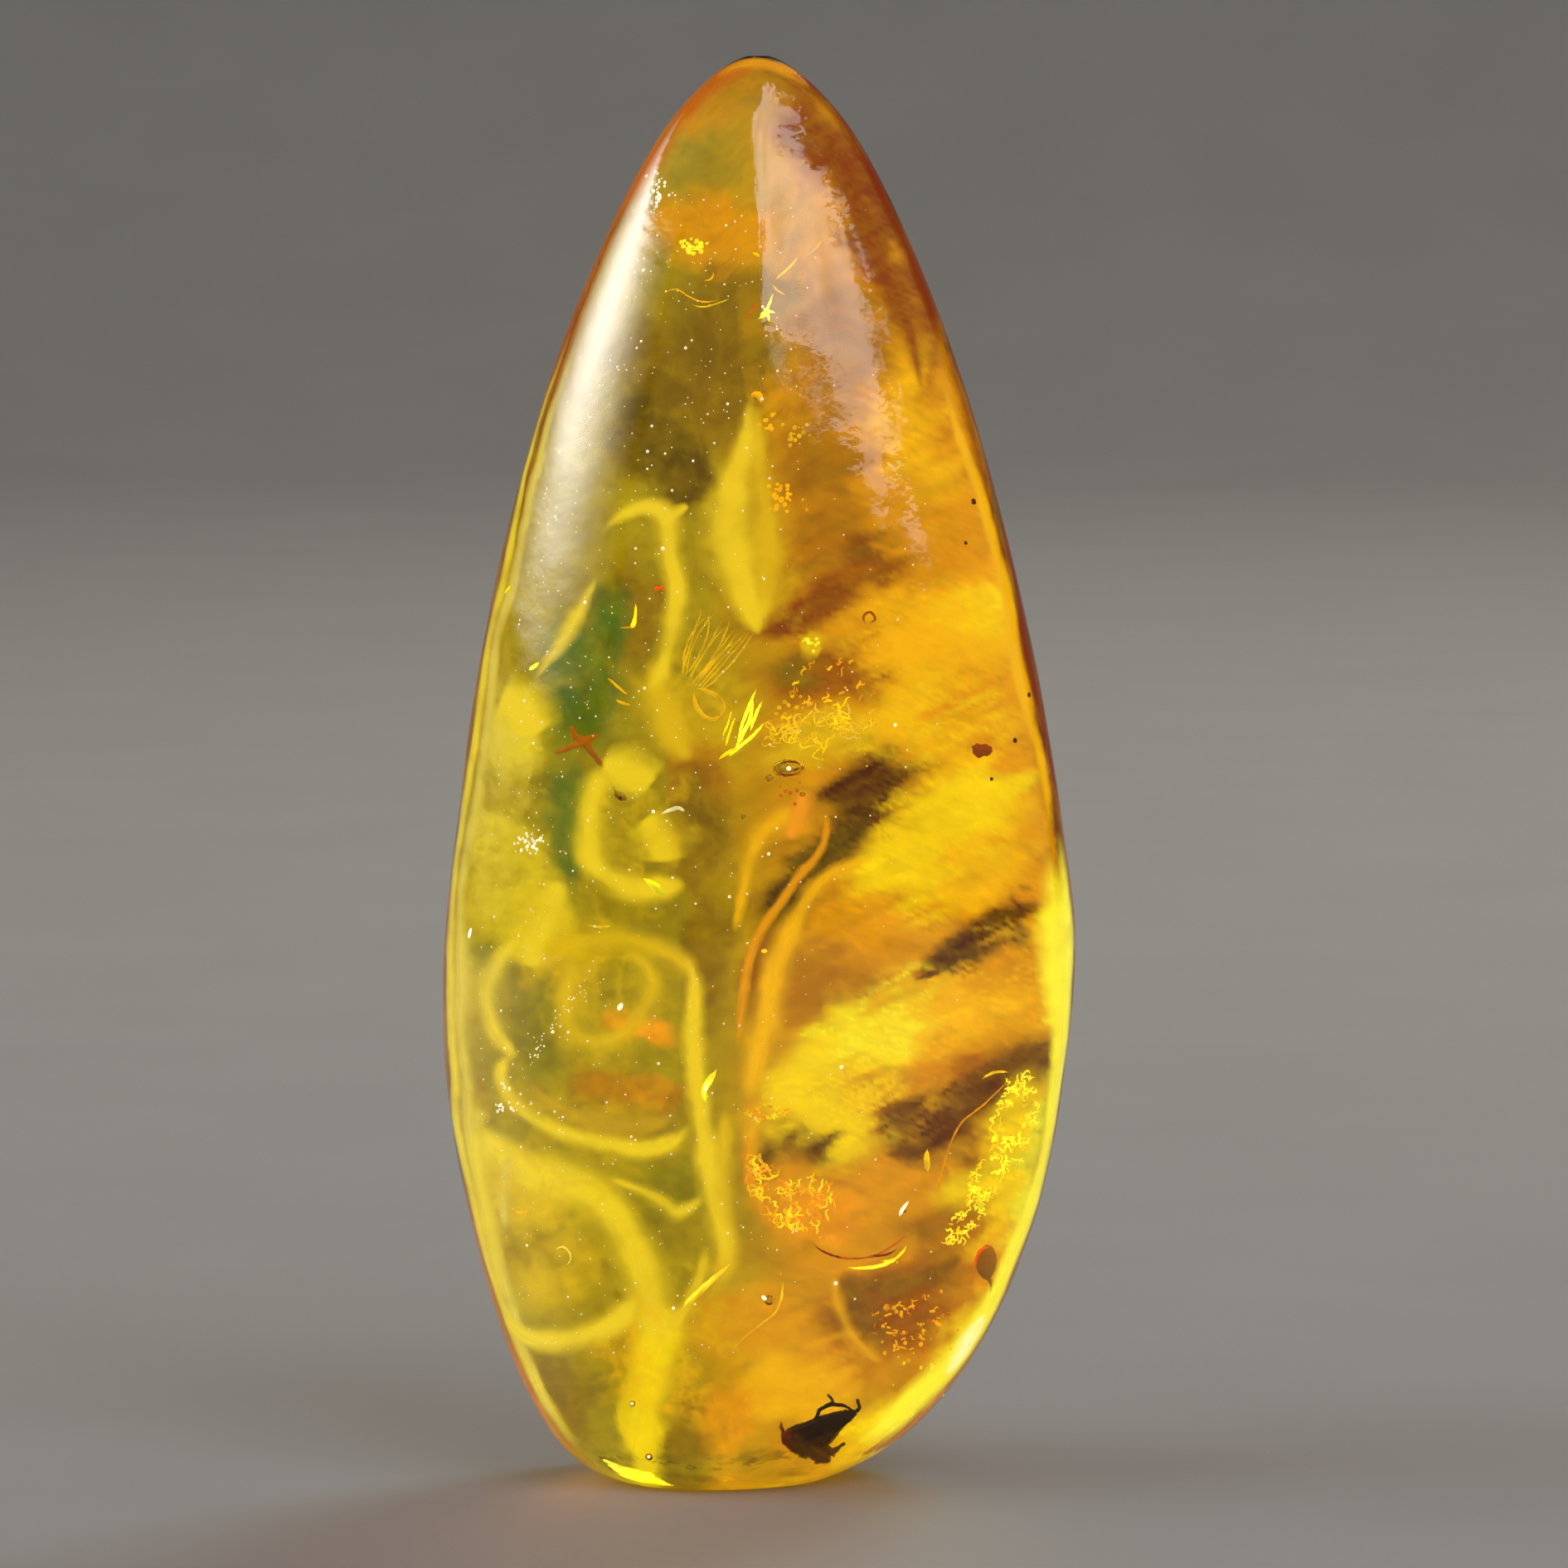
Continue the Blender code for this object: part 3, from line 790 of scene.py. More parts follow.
# Each strand: depth share, tone, cover at its core, flatness, then across, down and half width along it.
STRANDS = {
    "hook": (0.34, STRAW, 0.9, 0.8, (
        (728, 644, 3), (750, 624, 8), (778, 615, 11), (802, 626, 13), (812, 672, 12), (821, 708, 11),
        (818, 746, 11), (810, 784, 11), (802, 815, 11), (788, 838, 7))),
    "hook branch": (0.34, STRAW, 0.75, 0.8, ((802, 640, 5), (814, 624, 7), (832, 614, 3))),
    "hook foot": (0.36, PRIMROSE, 0.8, 0.6, ((806, 800, 10), (800, 840, 20), (812, 880, 22), (830, 920, 8))),
    "leaf": (0.36, STRAW, 0.96, 0.5, (
        (908, 478, 3), (902, 528, 12), (892, 575, 19), (882, 630, 24), (882, 664, 24), (892, 700, 20),
        (901, 734, 16), (908, 757, 11), (910, 768, 4))),
    "leaf edge": (0.38, PRIMROSE, 0.85, 0.5, (
        (918, 490, 4), (922, 560, 9), (924, 640, 12), (922, 700, 13), (916, 748, 8))),
    "ring lump": (0.36, STRAW, 0.95, 0.8, ((730, 922, 16), (760, 932, 28), (790, 946, 16))),
    "ring side": (0.36, STRAW, 0.92, 0.8, (
        (738, 928, 10), (720, 952, 15), (710, 986, 17), (712, 1024, 17), (724, 1050, 16), (750, 1066, 16),
        (788, 1068, 15), (826, 1056, 9))),
    "ring core": (0.40, STRAW, 0.85, 0.8, ((784, 984, 16), (800, 1010, 30), (806, 1036, 16))),
    "wedge": (0.32, STRAW, 0.92, 0.8, ((672, 1066, 8), (664, 1100, 20), (650, 1136, 25), (640, 1168, 14))),
    "soft lump": (0.30, STRAW, 0.85, 0.8, ((606, 846, 22), (634, 866, 36), (650, 890, 22))),
    "golden wisp": (0.26, STRAW, 0.6, 0.7, (
        (718, 700, 2), (702, 734, 8), (684, 766, 12), (664, 798, 8), (650, 824, 2))),
    "big arc": (0.30, STRAW, 0.85, 0.8, (
        (640, 1138, 8), (608, 1156, 12), (592, 1187, 13), (591, 1222, 13), (603, 1248, 12), (628, 1268, 7))),
    "swirl top": (0.33, PRIMROSE, 0.85, 0.8, (
        (646, 1158, 10), (684, 1146, 16), (726, 1138, 16), (764, 1138, 15), (812, 1152, 13), (834, 1172, 8))),
    "eye ring": (0.34, PRIMROSE, 0.85, 0.8, (
        (734, 1150, 6), (772, 1160, 9), (786, 1190, 10), (771, 1228, 10), (749, 1248, 10), (719, 1253, 10),
        (688, 1233, 9), (680, 1196, 9), (696, 1165, 7))),
    "upright": (0.30, STRAW, 0.85, 0.8, (
        (822, 1150, 4), (834, 1180, 9), (838, 1214, 10), (842, 1262, 11), (847, 1312, 11), (852, 1362, 11),
        (858, 1412, 13), (866, 1466, 14), (874, 1535, 10))),
    "twin upright": (0.36, PRIMROSE, 0.8, 0.8, (
        (878, 1340, 6), (874, 1400, 12), (872, 1470, 13), (866, 1560, 12))),
    "bowl": (0.33, STRAW, 0.85, 0.8, (
        (626, 1264, 5), (607, 1281, 8), (604, 1300, 9), (615, 1323, 10), (641, 1346, 11), (674, 1367, 12),
        (722, 1384, 12), (773, 1393, 12), (812, 1388, 11), (838, 1364, 6))),
    "inner bowl": (0.36, DULL_GOLD, 0.8, 0.8, (
        (636, 1296, 6), (662, 1332, 13), (704, 1354, 17), (770, 1366, 16), (824, 1350, 8))),
    "branch": (0.34, STRAW, 0.95, 0.7, (
        (580, 1358, 12), (606, 1396, 22), (640, 1420, 25), (684, 1434, 25), (720, 1450, 25), (752, 1490, 24),
        (784, 1556, 24), (800, 1626, 20))),
    "left veil": (0.30, STRAW, 0.6, 0.6, ((572, 1360, 10), (580, 1420, 16), (586, 1490, 16), (600, 1560, 8))),
    "trunk": (0.36, BRIGHT_GOLD, 0.97, 0.7, (
        (806, 1570, 14), (794, 1615, 26), (778, 1690, 20), (771, 1764, 17))),
    "low ring": (0.30, STRAW, 0.9, 0.8, (
        (596, 1572, 6), (630, 1604, 12), (676, 1610, 14), (724, 1594, 14), (764, 1560, 10))),
    "loop": (0.32, STRAW, 0.75, 0.8, (
        (760, 1500, 6), (782, 1556, 8), (812, 1590, 9), (834, 1560, 8), (848, 1500, 6))),
    "thin branch": (0.32, STRAW, 0.85, 0.8, (
        (736, 1428, 5), (772, 1443, 8), (800, 1458, 8), (818, 1468, 8), (852, 1450, 5))),
    "twig": (0.30, CREAM, 0.7, 0.8, ((614, 1398, 5), (606, 1440, 9), (606, 1484, 4))),
    "peach lump": (0.34, PEACH, 0.75, 0.8, ((978, 945, 5), (970, 975, 14), (958, 1004, 5))),
    "peach strand": (0.34, GOLD, 0.8, 0.8, (
        (962, 968, 10), (936, 990, 12), (910, 1030, 9), (894, 1066, 7), (882, 1122, 4))),
    "fine strand": (0.28, HONEY, 0.9, 0.9, (
        (1003, 972, 3), (1000, 1010, 4), (975, 1045, 5), (950, 1072, 5), (924, 1104, 5), (904, 1140, 6),
        (893, 1200, 5), (890, 1262, 3))),
    "broad strand": (0.32, GOLD, 0.88, 0.8, (
        (1052, 1030, 5), (1002, 1050, 8), (970, 1082, 10), (946, 1120, 12), (926, 1176, 14), (914, 1250, 14),
        (904, 1332, 8))),
    "sunlit edge": (0.12, LEMON * 1.12, 0.9, 0.8, (
        (1266, 1030, 7), (1274, 1100, 22), (1277, 1180, 22), (1280, 1250, 16), (1272, 1320, 13),
        (1258, 1400, 16), (1240, 1486, 14), (1219, 1560, 10), (1171, 1622, 22), (1115, 1680, 22),
        (1066, 1722, 12), (1036, 1740, 4))),
    "tip band left": (0.5, AMBER_RED, 0.9, 0.6, (
        (716, 320, 5), (752, 250, 10), (800, 170, 13), (846, 112, 14), (890, 86, 11), (920, 80, 4))),
    # painted shade: the dark band down the upper right edge, where it shows dark surroundings
    "tip band right": (0.5, RUST, 0.9, 0.6, (
        (950, 84, 5), (985, 110, 10), (1030, 170, 13), (1074, 256, 13), (1110, 340, 10), (1136, 420, 5))),
    "edge line right": (0.45, GOLD, 0.9, 0.8, (
        (1140, 460, 4), (1180, 580, 8), (1208, 680, 9), (1234, 800, 9), (1256, 920, 8), (1268, 1000, 5))),
    # painted shade: the right edge where it shows dark surroundings
    "dark rim right": (0.5, RUST, 0.97, 0.8, (
        (1146, 420, 3), (1196, 560, 6), (1222, 680, 7), (1246, 800, 7), (1268, 920, 6), (1280, 990, 3))),
    "rim line left": (0.5, STRAW, 0.88, 0.8, (
        (690, 400, 3), (640, 540, 6), (604, 700, 8), (576, 860, 8), (553, 1020, 9), (543, 1180, 9),
        (547, 1320, 9), (568, 1450, 8), (604, 1590, 7), (642, 1690, 6), (690, 1762, 4))),
    "dark horn": (0.50, DARK_BROWN, 0.97, 0.3, (
        (1108, 1188, 2), (1132, 1176, 7), (1156, 1160, 14), (1178, 1138, 20), (1198, 1118, 20),
        (1218, 1110, 17), (1236, 1124, 12), (1246, 1146, 4))),
    "dark band": (0.50, SOOT, 0.94, 0.3, (
        (1272, 1252, 3), (1244, 1268, 10), (1208, 1288, 18), (1172, 1312, 25), (1140, 1342, 25),
        (1114, 1372, 18), (1090, 1400, 8))),
    # painted shade: the dark band just inside the upper right edge
    "dark shoulder": (0.50, RUSSET, 0.88, 0.3, (
        (984, 150, 5), (1016, 206, 13), (1044, 268, 17), (1072, 336, 17), (1096, 400, 12), (1114, 466, 5))),
    "rim veil left": (0.5, CREAM, 0.85, 0.6, (
        (702, 400, 3), (652, 540, 6), (616, 700, 8), (588, 860, 9), (565, 1020, 10), (556, 1180, 10),
        (560, 1320, 10), (580, 1450, 9), (616, 1590, 8), (654, 1690, 6), (702, 1762, 4))),
    "lemon lump": (0.38, PRIMROSE, 0.9, 0.8, ((962, 772, 4), (976, 778, 13), (990, 782, 5))),
    "tip cap": (0.5, HONEY, 0.95, 0.6, (
        (868, 96, 4), (896, 80, 8), (922, 76, 9), (950, 84, 8), (980, 112, 5))),
    # painted light: lamp light shining through the lower right edge
    "bright rim right": (0.5, LEMON * 1.1, 0.95, 0.8, (
        (1274, 1000, 4), (1286, 1060, 9), (1290, 1124, 12), (1288, 1200, 12), (1279, 1290, 12),
        (1260, 1390, 12), (1234, 1489, 12), (1203, 1570, 13), (1163, 1650, 13), (1106, 1720, 12),
        (1044, 1764, 6))),
    "white glow": (0.10, GLARE, 0.9, 0.8, (
        (1188, 1588, 5), (1174, 1612, 15), (1156, 1640, 15), (1140, 1662, 5))),
    # a clear pocket: the amber's own brown, made darker by painted shade
    "clear pocket": (0.50, POCKET, 0.85, 0.3, (
        (1016, 1530, 10), (1026, 1566, 22), (1046, 1600, 25), (1072, 1622, 12))),
    # the clear pocket's top: the amber's own brown, made darker by painted shade
    "pocket top": (0.50, POCKET, 0.8, 0.3, (
        (1030, 1545, 8), (1080, 1545, 16), (1130, 1528, 14), (1150, 1508, 5))),
    "pocket edge": (0.34, GOLD, 0.6, 0.8, (
        (1003, 1540, 4), (1008, 1580, 7), (1030, 1618, 7), (1064, 1642, 5))),
    "nest wall": (0.34, HONEY, 0.85, 0.8, ((912, 1320, 6), (906, 1370, 10), (908, 1425, 8), (924, 1470, 4))),
}


def strand(deep, strand_tone, cover, flat, path):
    """Three grids crossed on a smooth line, frayed by chance: dense on the line, nothing at their edges."""
    course = smooth_curve(path, STRAND_STEPS)
    line = inside(course[:, 0], course[:, 1], deep)
    widths = np.maximum(course[:, 2], LEAST_WIDTH) * STEP / SWELL * FIN_REACH
    ends = np.linspace(0, 1, len(course))
    fade = np.clip(np.minimum(ends, 1 - ends) * 10, 0, 1)
    sideways, inward = square_to(line)
    across = np.linspace(-1, 1, FIN_COLUMNS)
    profile = (1 - across**2) ** FIN_FALL
    fin_cover = 1 - (1 - cover) ** FIN_SHARE
    parts = []
    for number, turn in enumerate(FIN_TURNS):
        out = math.cos(turn) * sideways + flat * math.sin(turn) * inward
        points = (line[:, None] + across[None, :, None] * (widths[:, None] * out)[:, None]).reshape(-1, 3)
        shift = FINE_RAG * ragged(points, 0.9, 5 + number) + SLOW_RAG * ragged(points, 5.0, 9)
        points = keep_inside(points + shift)
        uneven = 1 + 0.4 * drift(points[:, 0] + points[:, 1], points[:, 2], 0.8, 15 + number, 3)
        uneven = uneven * (1 + 0.35 * drift(points[:, 0], points[:, 2], 3.0, 25, 2))
        skin = fin_cover * (fade[:, None] * profile).reshape(-1) * uneven
        colors = np.concatenate([before_amber(strand_tone, points), np.clip(skin, 0, 1)[:, None]], axis=1)
        parts.append((points, grid_faces(len(course), FIN_COLUMNS), colors))
    return parts


def ragged(points, cell, seed):
    """Smooth chance shifts of points by their own place, sideways, into the depth and up."""
    x, y, z = points.T
    return np.stack([drift(x + 0.7 * y, z - 0.7 * y, cell, seed + step, 2) for step in (0, 20, 40)], axis=1)


def make_strands(material):
    """All strands as one piece."""
    parts = [part for facts in STRANDS.values() for part in strand(*facts)]
    points, faces, colors = gather(parts)
    soft(put_piece("cloudy_strands", points, faces, material, colors))


# Threads and sparks: fine bright or dark lines and grains

FINEST_RADIUS = 0.004
FAN_FILAMENTS = 14
CRACKLE_DEPTHS = (0.26, 0.36)


def thread(deep, thread_tone, path, around=6, steps=6):
    """A fine closed tube along a smooth line, tapering to its ends."""
    course = smooth_curve(path, steps)
    line = inside(course[:, 0], course[:, 1], deep)
    ends = np.linspace(0, 1, len(course))
    taper = np.clip(np.minimum(ends, 1 - ends) * 8, 0.15, 1)
    radii = np.maximum(course[:, 2] * STEP / SWELL, FINEST_RADIUS) * taper
    points, faces = tube(line, radii, around)
    colors = np.concatenate([before_amber(thread_tone, points), np.ones((len(points), 1))], axis=1)
    return keep_inside(points), faces, colors


def grain(place, radius, grain_tone):
    """A small closed lump: two rings and two poles."""
    points, faces = closed_rings(ball(np.radians([-35.0, 35.0]), 6), (0, 0, -1.0), (0, 0, 1.0))
    return points * radius + place, faces, paint(grain_tone, 1.0, len(points))


def grains(u, v, deep, sizes, grain_tone):
    """Small lumps at many places, of sizes in picture steps."""
    places = inside(u, v, deep)
    tones = before_amber(grain_tone, places)
    return [grain(place, size * STEP / SWELL, lump_tone)
            for place, size, lump_tone in zip(places, sizes, tones)]


# Each thread: depth share, tone, then across, down and half width along it.
THREADS = (
    (0.30, GOLD, ((804, 352, 0.6), (816, 349, 1.2), (830, 357, 0.9), (846, 364, 1.2), (866, 362, 0.6))),
    (0.30, BRIGHT_GOLD, ((836, 368, 0.6), (852, 370, 1.2), (866, 366, 1.0), (880, 360, 0.5))),
    (0.28, LEMON * FLASH, ((933, 354, 0.5), (927, 370, 1.6), (924, 378, 2.2), (914, 385, 0.6))),
    (0.28, LEMON * FLASH, ((936, 378, 0.5), (927, 376, 1.8), (917, 380, 0.6))),
    (0.28, LEMON * FLASH, ((929, 388, 0.5), (926, 378, 1.6), (922, 371, 0.5))),
    (0.28, AMBER_RED, ((917, 364, 0.5), (906, 376, 1.2), (899, 386, 0.8))),
    (0.30, BRIGHT_GOLD, ((935, 338, 0.8), (945, 329, 1.4), (957, 318, 1.4), (962, 310, 0.6))),
    (0.30, GOLD, ((974, 308, 0.6), (982, 302, 1.3), (991, 291, 0.6))),
    (0.30, GOLD, ((933, 344, 0.5), (938, 350, 1.3), (948, 356, 0.6))),
    (0.30, BRIGHT_GOLD, ((907, 305, 0.5), (911, 306, 1.6), (915, 310, 0.6))),
    (0.30, GOLD, ((850, 338, 0.5), (858, 336, 1.4), (861, 328, 0.6))),
    (0.26, LEMON * FLASH, ((890, 894, 1), (896, 872, 2.2), (904, 852, 2.2), (913, 830, 0.6))),
    (0.27, LEMON * FLASH, ((886, 906, 1), (897, 884, 2.4), (905, 866, 2.0), (909, 842, 0.6))),
    (0.26, LEMON * FLASH, ((905, 882, 1), (911, 864, 2.0), (920, 846, 0.6))),
    (0.26, LEMON * FLASH, ((880, 912, 1), (896, 898, 2.2), (908, 888, 2.0), (922, 872, 0.6))),
    (0.26, BRIGHT_GOLD * FLASH, ((876, 899, 1), (880, 884, 1.2), (886, 866, 0.6))),
    (0.26, BRIGHT_GOLD * FLASH, ((868, 916, 1), (878, 908, 2.4), (892, 902, 1))),
    (0.28, BRIGHT_GOLD * FLASH, ((872, 888, 1), (878, 872, 1), (882, 858, 0.6))),
    # painted glint: a bright spark with a white core, this thread and the next
    (0.30, LEMON * 1.3, ((852, 1330, 1), (850, 1316, 4), (856, 1304, 5), (864, 1290, 1))),
    (0.26, WHITE * FLASH, ((850, 1318, 0.6), (852, 1312, 2.2), (855, 1304, 0.6))),
    (0.28, STRAW * 1.2, ((822, 1580, 1), (838, 1562, 5), (856, 1546, 4), (880, 1525, 1))),
    (0.26, LEMON * FLASH, ((824, 1576, 0.6), (840, 1558, 1.6), (862, 1540, 0.6))),
    (0.32, LEMON * FLASH, ((1024, 1528, 1), (1046, 1529, 2.6), (1070, 1524, 2.2), (1082, 1517, 0.8))),
    (0.32, BRIGHT_GOLD * FLASH, ((1062, 1521, 0.8), (1078, 1519, 1.6), (1088, 1511, 1.6), (1093, 1502, 0.6))),
    (0.31, AMBER_RED, (
        (980, 1498, 1), (1008, 1515, 1.8), (1050, 1516, 1.6), (1074, 1504, 1.8), (1096, 1486, 1))),
    (0.30, RUST, ((984, 1503, 1), (1000, 1512, 1.8), (1016, 1517, 1))),
    (0.30, RUST, ((1050, 1514, 1), (1066, 1514, 2), (1082, 1506, 1))),
    (0.30, HONEY, (
        (1130, 1440, 0.8), (1138, 1403, 1.4), (1158, 1356, 1.4), (1187, 1332, 1.2), (1222, 1297, 0.8))),
    (0.32, BRIGHT_GOLD, ((1185, 1301, 1), (1198, 1294, 2), (1216, 1293, 1))),
    (0.32, BRIGHT_GOLD, ((1118, 1386, 1), (1117, 1400, 4), (1119, 1414, 1))),
    (0.22, STRAW, (
        (944, 1545, 0.6), (943, 1562, 1.0), (936, 1582, 0.9), (914, 1600, 0.8), (884, 1626, 0.5))),
    (0.22, STRAW * FLASH, ((943, 1556, 0.6), (943, 1564, 1.4), (941, 1571, 0.6))),
    (0.28, BRANDY, (
        (1044, 752, 1.5), (1042, 742, 1.8), (1050, 738, 1.8), (1056, 746, 1.8), (1049, 751, 1.2))),
    (0.30, EMBER, ((1178, 1530, 1), (1178, 1518, 2), (1184, 1507, 2.4), (1194, 1504, 1))),
    (0.24, BRIGHT_GOLD * FLASH, ((608, 716, 0.6), (611, 712, 2), (615, 707, 0.6))),
    (0.24, LEMON * FLASH, ((638, 808, 1), (644, 804, 3), (650, 799, 1))),
    (0.30, BRIGHT_GOLD * FLASH, ((767, 728, 0.6), (766, 744, 2), (764, 754, 3), (762, 758, 1))),
    (0.30, HONEY, ((748, 757, 0.6), (758, 757, 1.4), (764, 756, 1))),
    (0.32, LEMON, ((778, 1062, 1), (788, 1068, 4), (797, 1076, 4), (806, 1078, 1))),
    (0.32, BRIGHT_GOLD * FLASH, ((776, 1060, 0.8), (786, 1063, 1.6), (800, 1070, 1))),
    (0.30, STRAW, ((708, 1116, 0.8), (722, 1118, 1.6), (736, 1117, 2.4))),
    (0.28, GOLD, ((734, 818, 0.8), (744, 826, 1.8), (758, 838, 0.8))),
    (0.28, GOLD, ((744, 844, 0.8), (752, 848, 1.8), (762, 850, 0.8))),
    (0.34, WHITE, ((797, 982, 1), (808, 978, 2.4), (818, 976, 3), (826, 980, 1))),
    # painted highlights on the bubbles, these four threads
    (0.18, WHITE * FLASH, ((948, 926, 1), (951, 927, 3), (954, 928, 1))),
    (0.17, WHITE * FLASH, ((920, 1563, 1), (922, 1566, 2.6), (925, 1568, 1))),
    (0.17, WHITE * FLASH, ((761, 1692, 0.8), (762, 1693, 1.8), (764, 1694, 0.8))),
    (0.17, WHITE * FLASH, ((781, 1756, 0.8), (782, 1757, 1.8), (784, 1758, 0.8))),
    # painted glints on the polished skin, these three threads
    (0.06, WHITE * FLASH, ((1085, 1467, 0.6), (1088, 1460, 2.8), (1092, 1454, 2.2), (1096, 1449, 0.8))),
    (0.05, WHITE * FLASH, ((565, 1132, 1), (566, 1126, 3.2), (568, 1119, 1))),
    (0.05, WHITE * FLASH, ((746, 1219, 1), (748, 1215, 3.4), (751, 1210, 1))),
    (0.26, WHITE * FLASH, ((1078, 875, 0.8), (1080, 875, 2.4), (1082, 875, 0.8))),
    (0.26, STRAW * FLASH, ((918, 1146, 1), (922, 1147, 3), (926, 1148, 1))),
    (0.30, GOLD, ((620, 1460, 0.8), (630, 1463, 2.2), (637, 1460, 0.8))),
    (0.30, GOLD, ((906, 480, 1), (913, 476, 4), (918, 486, 1))),
    (0.28, PRIMROSE, ((840, 830, 2), (858, 836, 3), (872, 848, 3), (868, 866, 2))),
    (0.28, PRIMROSE, ((838, 836, 2), (842, 856, 3), (858, 868, 3), (870, 862, 2))),
    (0.25, CREAM * FLASH, (
        (671, 1507, 0.6), (680, 1504, 1.2), (687, 1510, 1.2), (689, 1518, 1.0), (684, 1526, 0.6))),
)


def leaf_fan():
    """Thin filaments that fan out below the leaf, each bent a little."""
    rng = np.random.default_rng(11)
    parts = []
    for share in np.linspace(0, 1, FAN_FILAMENTS):
        end_u, end_v = 846 + 62 * share, 742 + 26 * share + rng.uniform(-8, 8)
        start_u, start_v = 822 + 20 * share, 812 + 24 * share
        bend = rng.uniform(-7, 7)
        middle = ((start_u + end_u) / 2 + bend, (start_v + end_v) / 2 + bend, 1.1)
        parts.append(thread(0.34, PRIMROSE, ((start_u, start_v, 0.8), middle, (end_u, end_v, 0.6))))
    return parts


NEST_TONES = (GOLD, BRIGHT_GOLD, LEMON, PEACH, HONEY)
FILM_TONES = (BRIGHT_GOLD, LEMON, LEMON * 1.2)

# Each field of crackle: middle, half size and turn, then the number, length, lean and tones of its strokes.
CRACKLE_FIELDS = (
    (930, 1438, 20, 50, -30, 60, 20, 60, NEST_TONES),
    (975, 1450, 34, 34, 0, 60, 16, 80, NEST_TONES),
    (925, 1342, 26, 9, -8, 34, 9, 0, NEST_TONES),
    (1224, 1352, 26, 62, 10, 84, 12, -75, FILM_TONES),
    (1192, 1414, 20, 48, 24, 62, 12, -60, FILM_TONES),
    (1166, 1470, 14, 42, 34, 46, 11, -50, FILM_TONES),
    (1100, 1596, 62, 34, 0, 44, 9, 0, (HONEY, GOLD, GOLD, AMBER_RED)),
    (985, 880, 66, 22, -8, 70, 26, -12, (PRIMROSE, CREAM, BRIGHT_GOLD)),
    (1005, 825, 64, 30, 0, 22, 12, -60, (GOLD, HONEY, BRIGHT_GOLD)),
)

# Each clump of grains: middle, spread, number and tone.
CLUMPS = (
    (940, 600, 15, 30, GOLD), (960, 522, 12, 16, PRIMROSE), (925, 512, 10, 12, GOLD),
    (980, 775, 9, 12, LEMON), (836, 298, 9, 34, LEMON), (1100, 1600, 50, 30, GOLD),
    (1115, 1665, 30, 16, LEMON), (951, 955, 12, 8, AMBER_RED), (795, 708, 3, 3, EMBER),
    (960, 870, 40, 26, PRIMROSE), (1020, 885, 34, 22, PRIMROSE),
)


def crackle(rng, middle_u, middle_v, half_u, half_v, turn, count, length, lean, tones):
    """Short wiggly strokes strewn in a turned oval."""
    parts = []
    angle = math.radians(turn)
    for _ in range(count):
        around, out = rng.uniform(0, 2 * math.pi), math.sqrt(rng.uniform(0.1, 1))
        across, down = half_u * out * math.cos(around), half_v * out * math.sin(around)
        u = middle_u + across * math.cos(angle) - down * math.sin(angle)
        v = middle_v + across * math.sin(angle) + down * math.cos(angle)
        heading = math.radians(lean) + rng.normal(0, 0.7)
        reach = length * rng.uniform(0.5, 1.2)
        steps = np.linspace(-0.5, 0.5, 5)
        wiggle = rng.normal(0, 0.16, 5)
        path = np.stack([
            u + reach * (steps * math.cos(heading) - wiggle * math.sin(heading)),
            v + reach * (steps * math.sin(heading) + wiggle * math.cos(heading)),
            rng.uniform(0.7, 1.7) * np.array([0.7, 1, 1, 1, 0.7]),
        ], axis=1)
        stroke_tone = tones[rng.integers(len(tones))]
        parts.append(thread(rng.uniform(*CRACKLE_DEPTHS), stroke_tone, path, around=5, steps=3))
    return parts


def thread_material():
    """Gleaming or dark lines: the paint's tone, uneven along its length, shown partly as a painted glow."""
    shader = Shader("gleaming thread")
    uneven = shader.span(shader.noise(shader.point(), 1800.0, 2.0), 0.3, 0.7, 0.7, 1.2)
    lit = shader.tinted(shader.painted(), shader.shade(uneven))
    return shader.finish(shader.principled(
        Base_Color=lit, Roughness=0.35, Emission_Color=lit, Emission_Strength=0.8
    ))


def make_threads(material):
    """Threads, the fan below the leaf, crackle and clumps of grains as one piece."""
    rng = np.random.default_rng(5)
    parts = [thread(deep, line_tone, path) for deep, line_tone, path in THREADS] + leaf_fan()
    for field in CRACKLE_FIELDS:
        parts += crackle(rng, *field)
    for middle_u, middle_v, spread, count, clump_tone in CLUMPS:
        u, v = (rng.normal(middle, spread / 1.6, count) for middle in (middle_u, middle_v))
        depths, sizes = rng.uniform(*CRACKLE_DEPTHS, count), rng.uniform(1.4, 3.6, count)
        parts += grains(u, v, depths, sizes, clump_tone)
    points, faces, colors = gather(parts)
    put_piece("bright_threads", points, faces, material, colors)


# Dark crumbs: across, down and size.
CRUMBS = (
    (1225, 893, 4), (1242, 838, 4), (1175, 605, 5), (1165, 655, 3), (748, 962, 3), (1196, 940, 3),
    (1090, 1460, 3),
)
CRUMB_DEPTH, DUST_DEPTH = 0.25, 0.004
DUST_GRAINS, SCRATCH_GRAINS = 900, 44

# Each nick in the skin: middle, spread across and down, and number of grains.
NICKS = ((637, 1018, 10, 6, 46), (790, 228, 7, 12, 40), (612, 1335, 12, 4, 16), (605, 1310, 4, 5, 8))


def dust(u, v, sizes):
    """Pale grains just under the polished skin."""
    return [grain(place, size * STEP, WHITE) for place, size in zip(inside(u, v, DUST_DEPTH), sizes)]


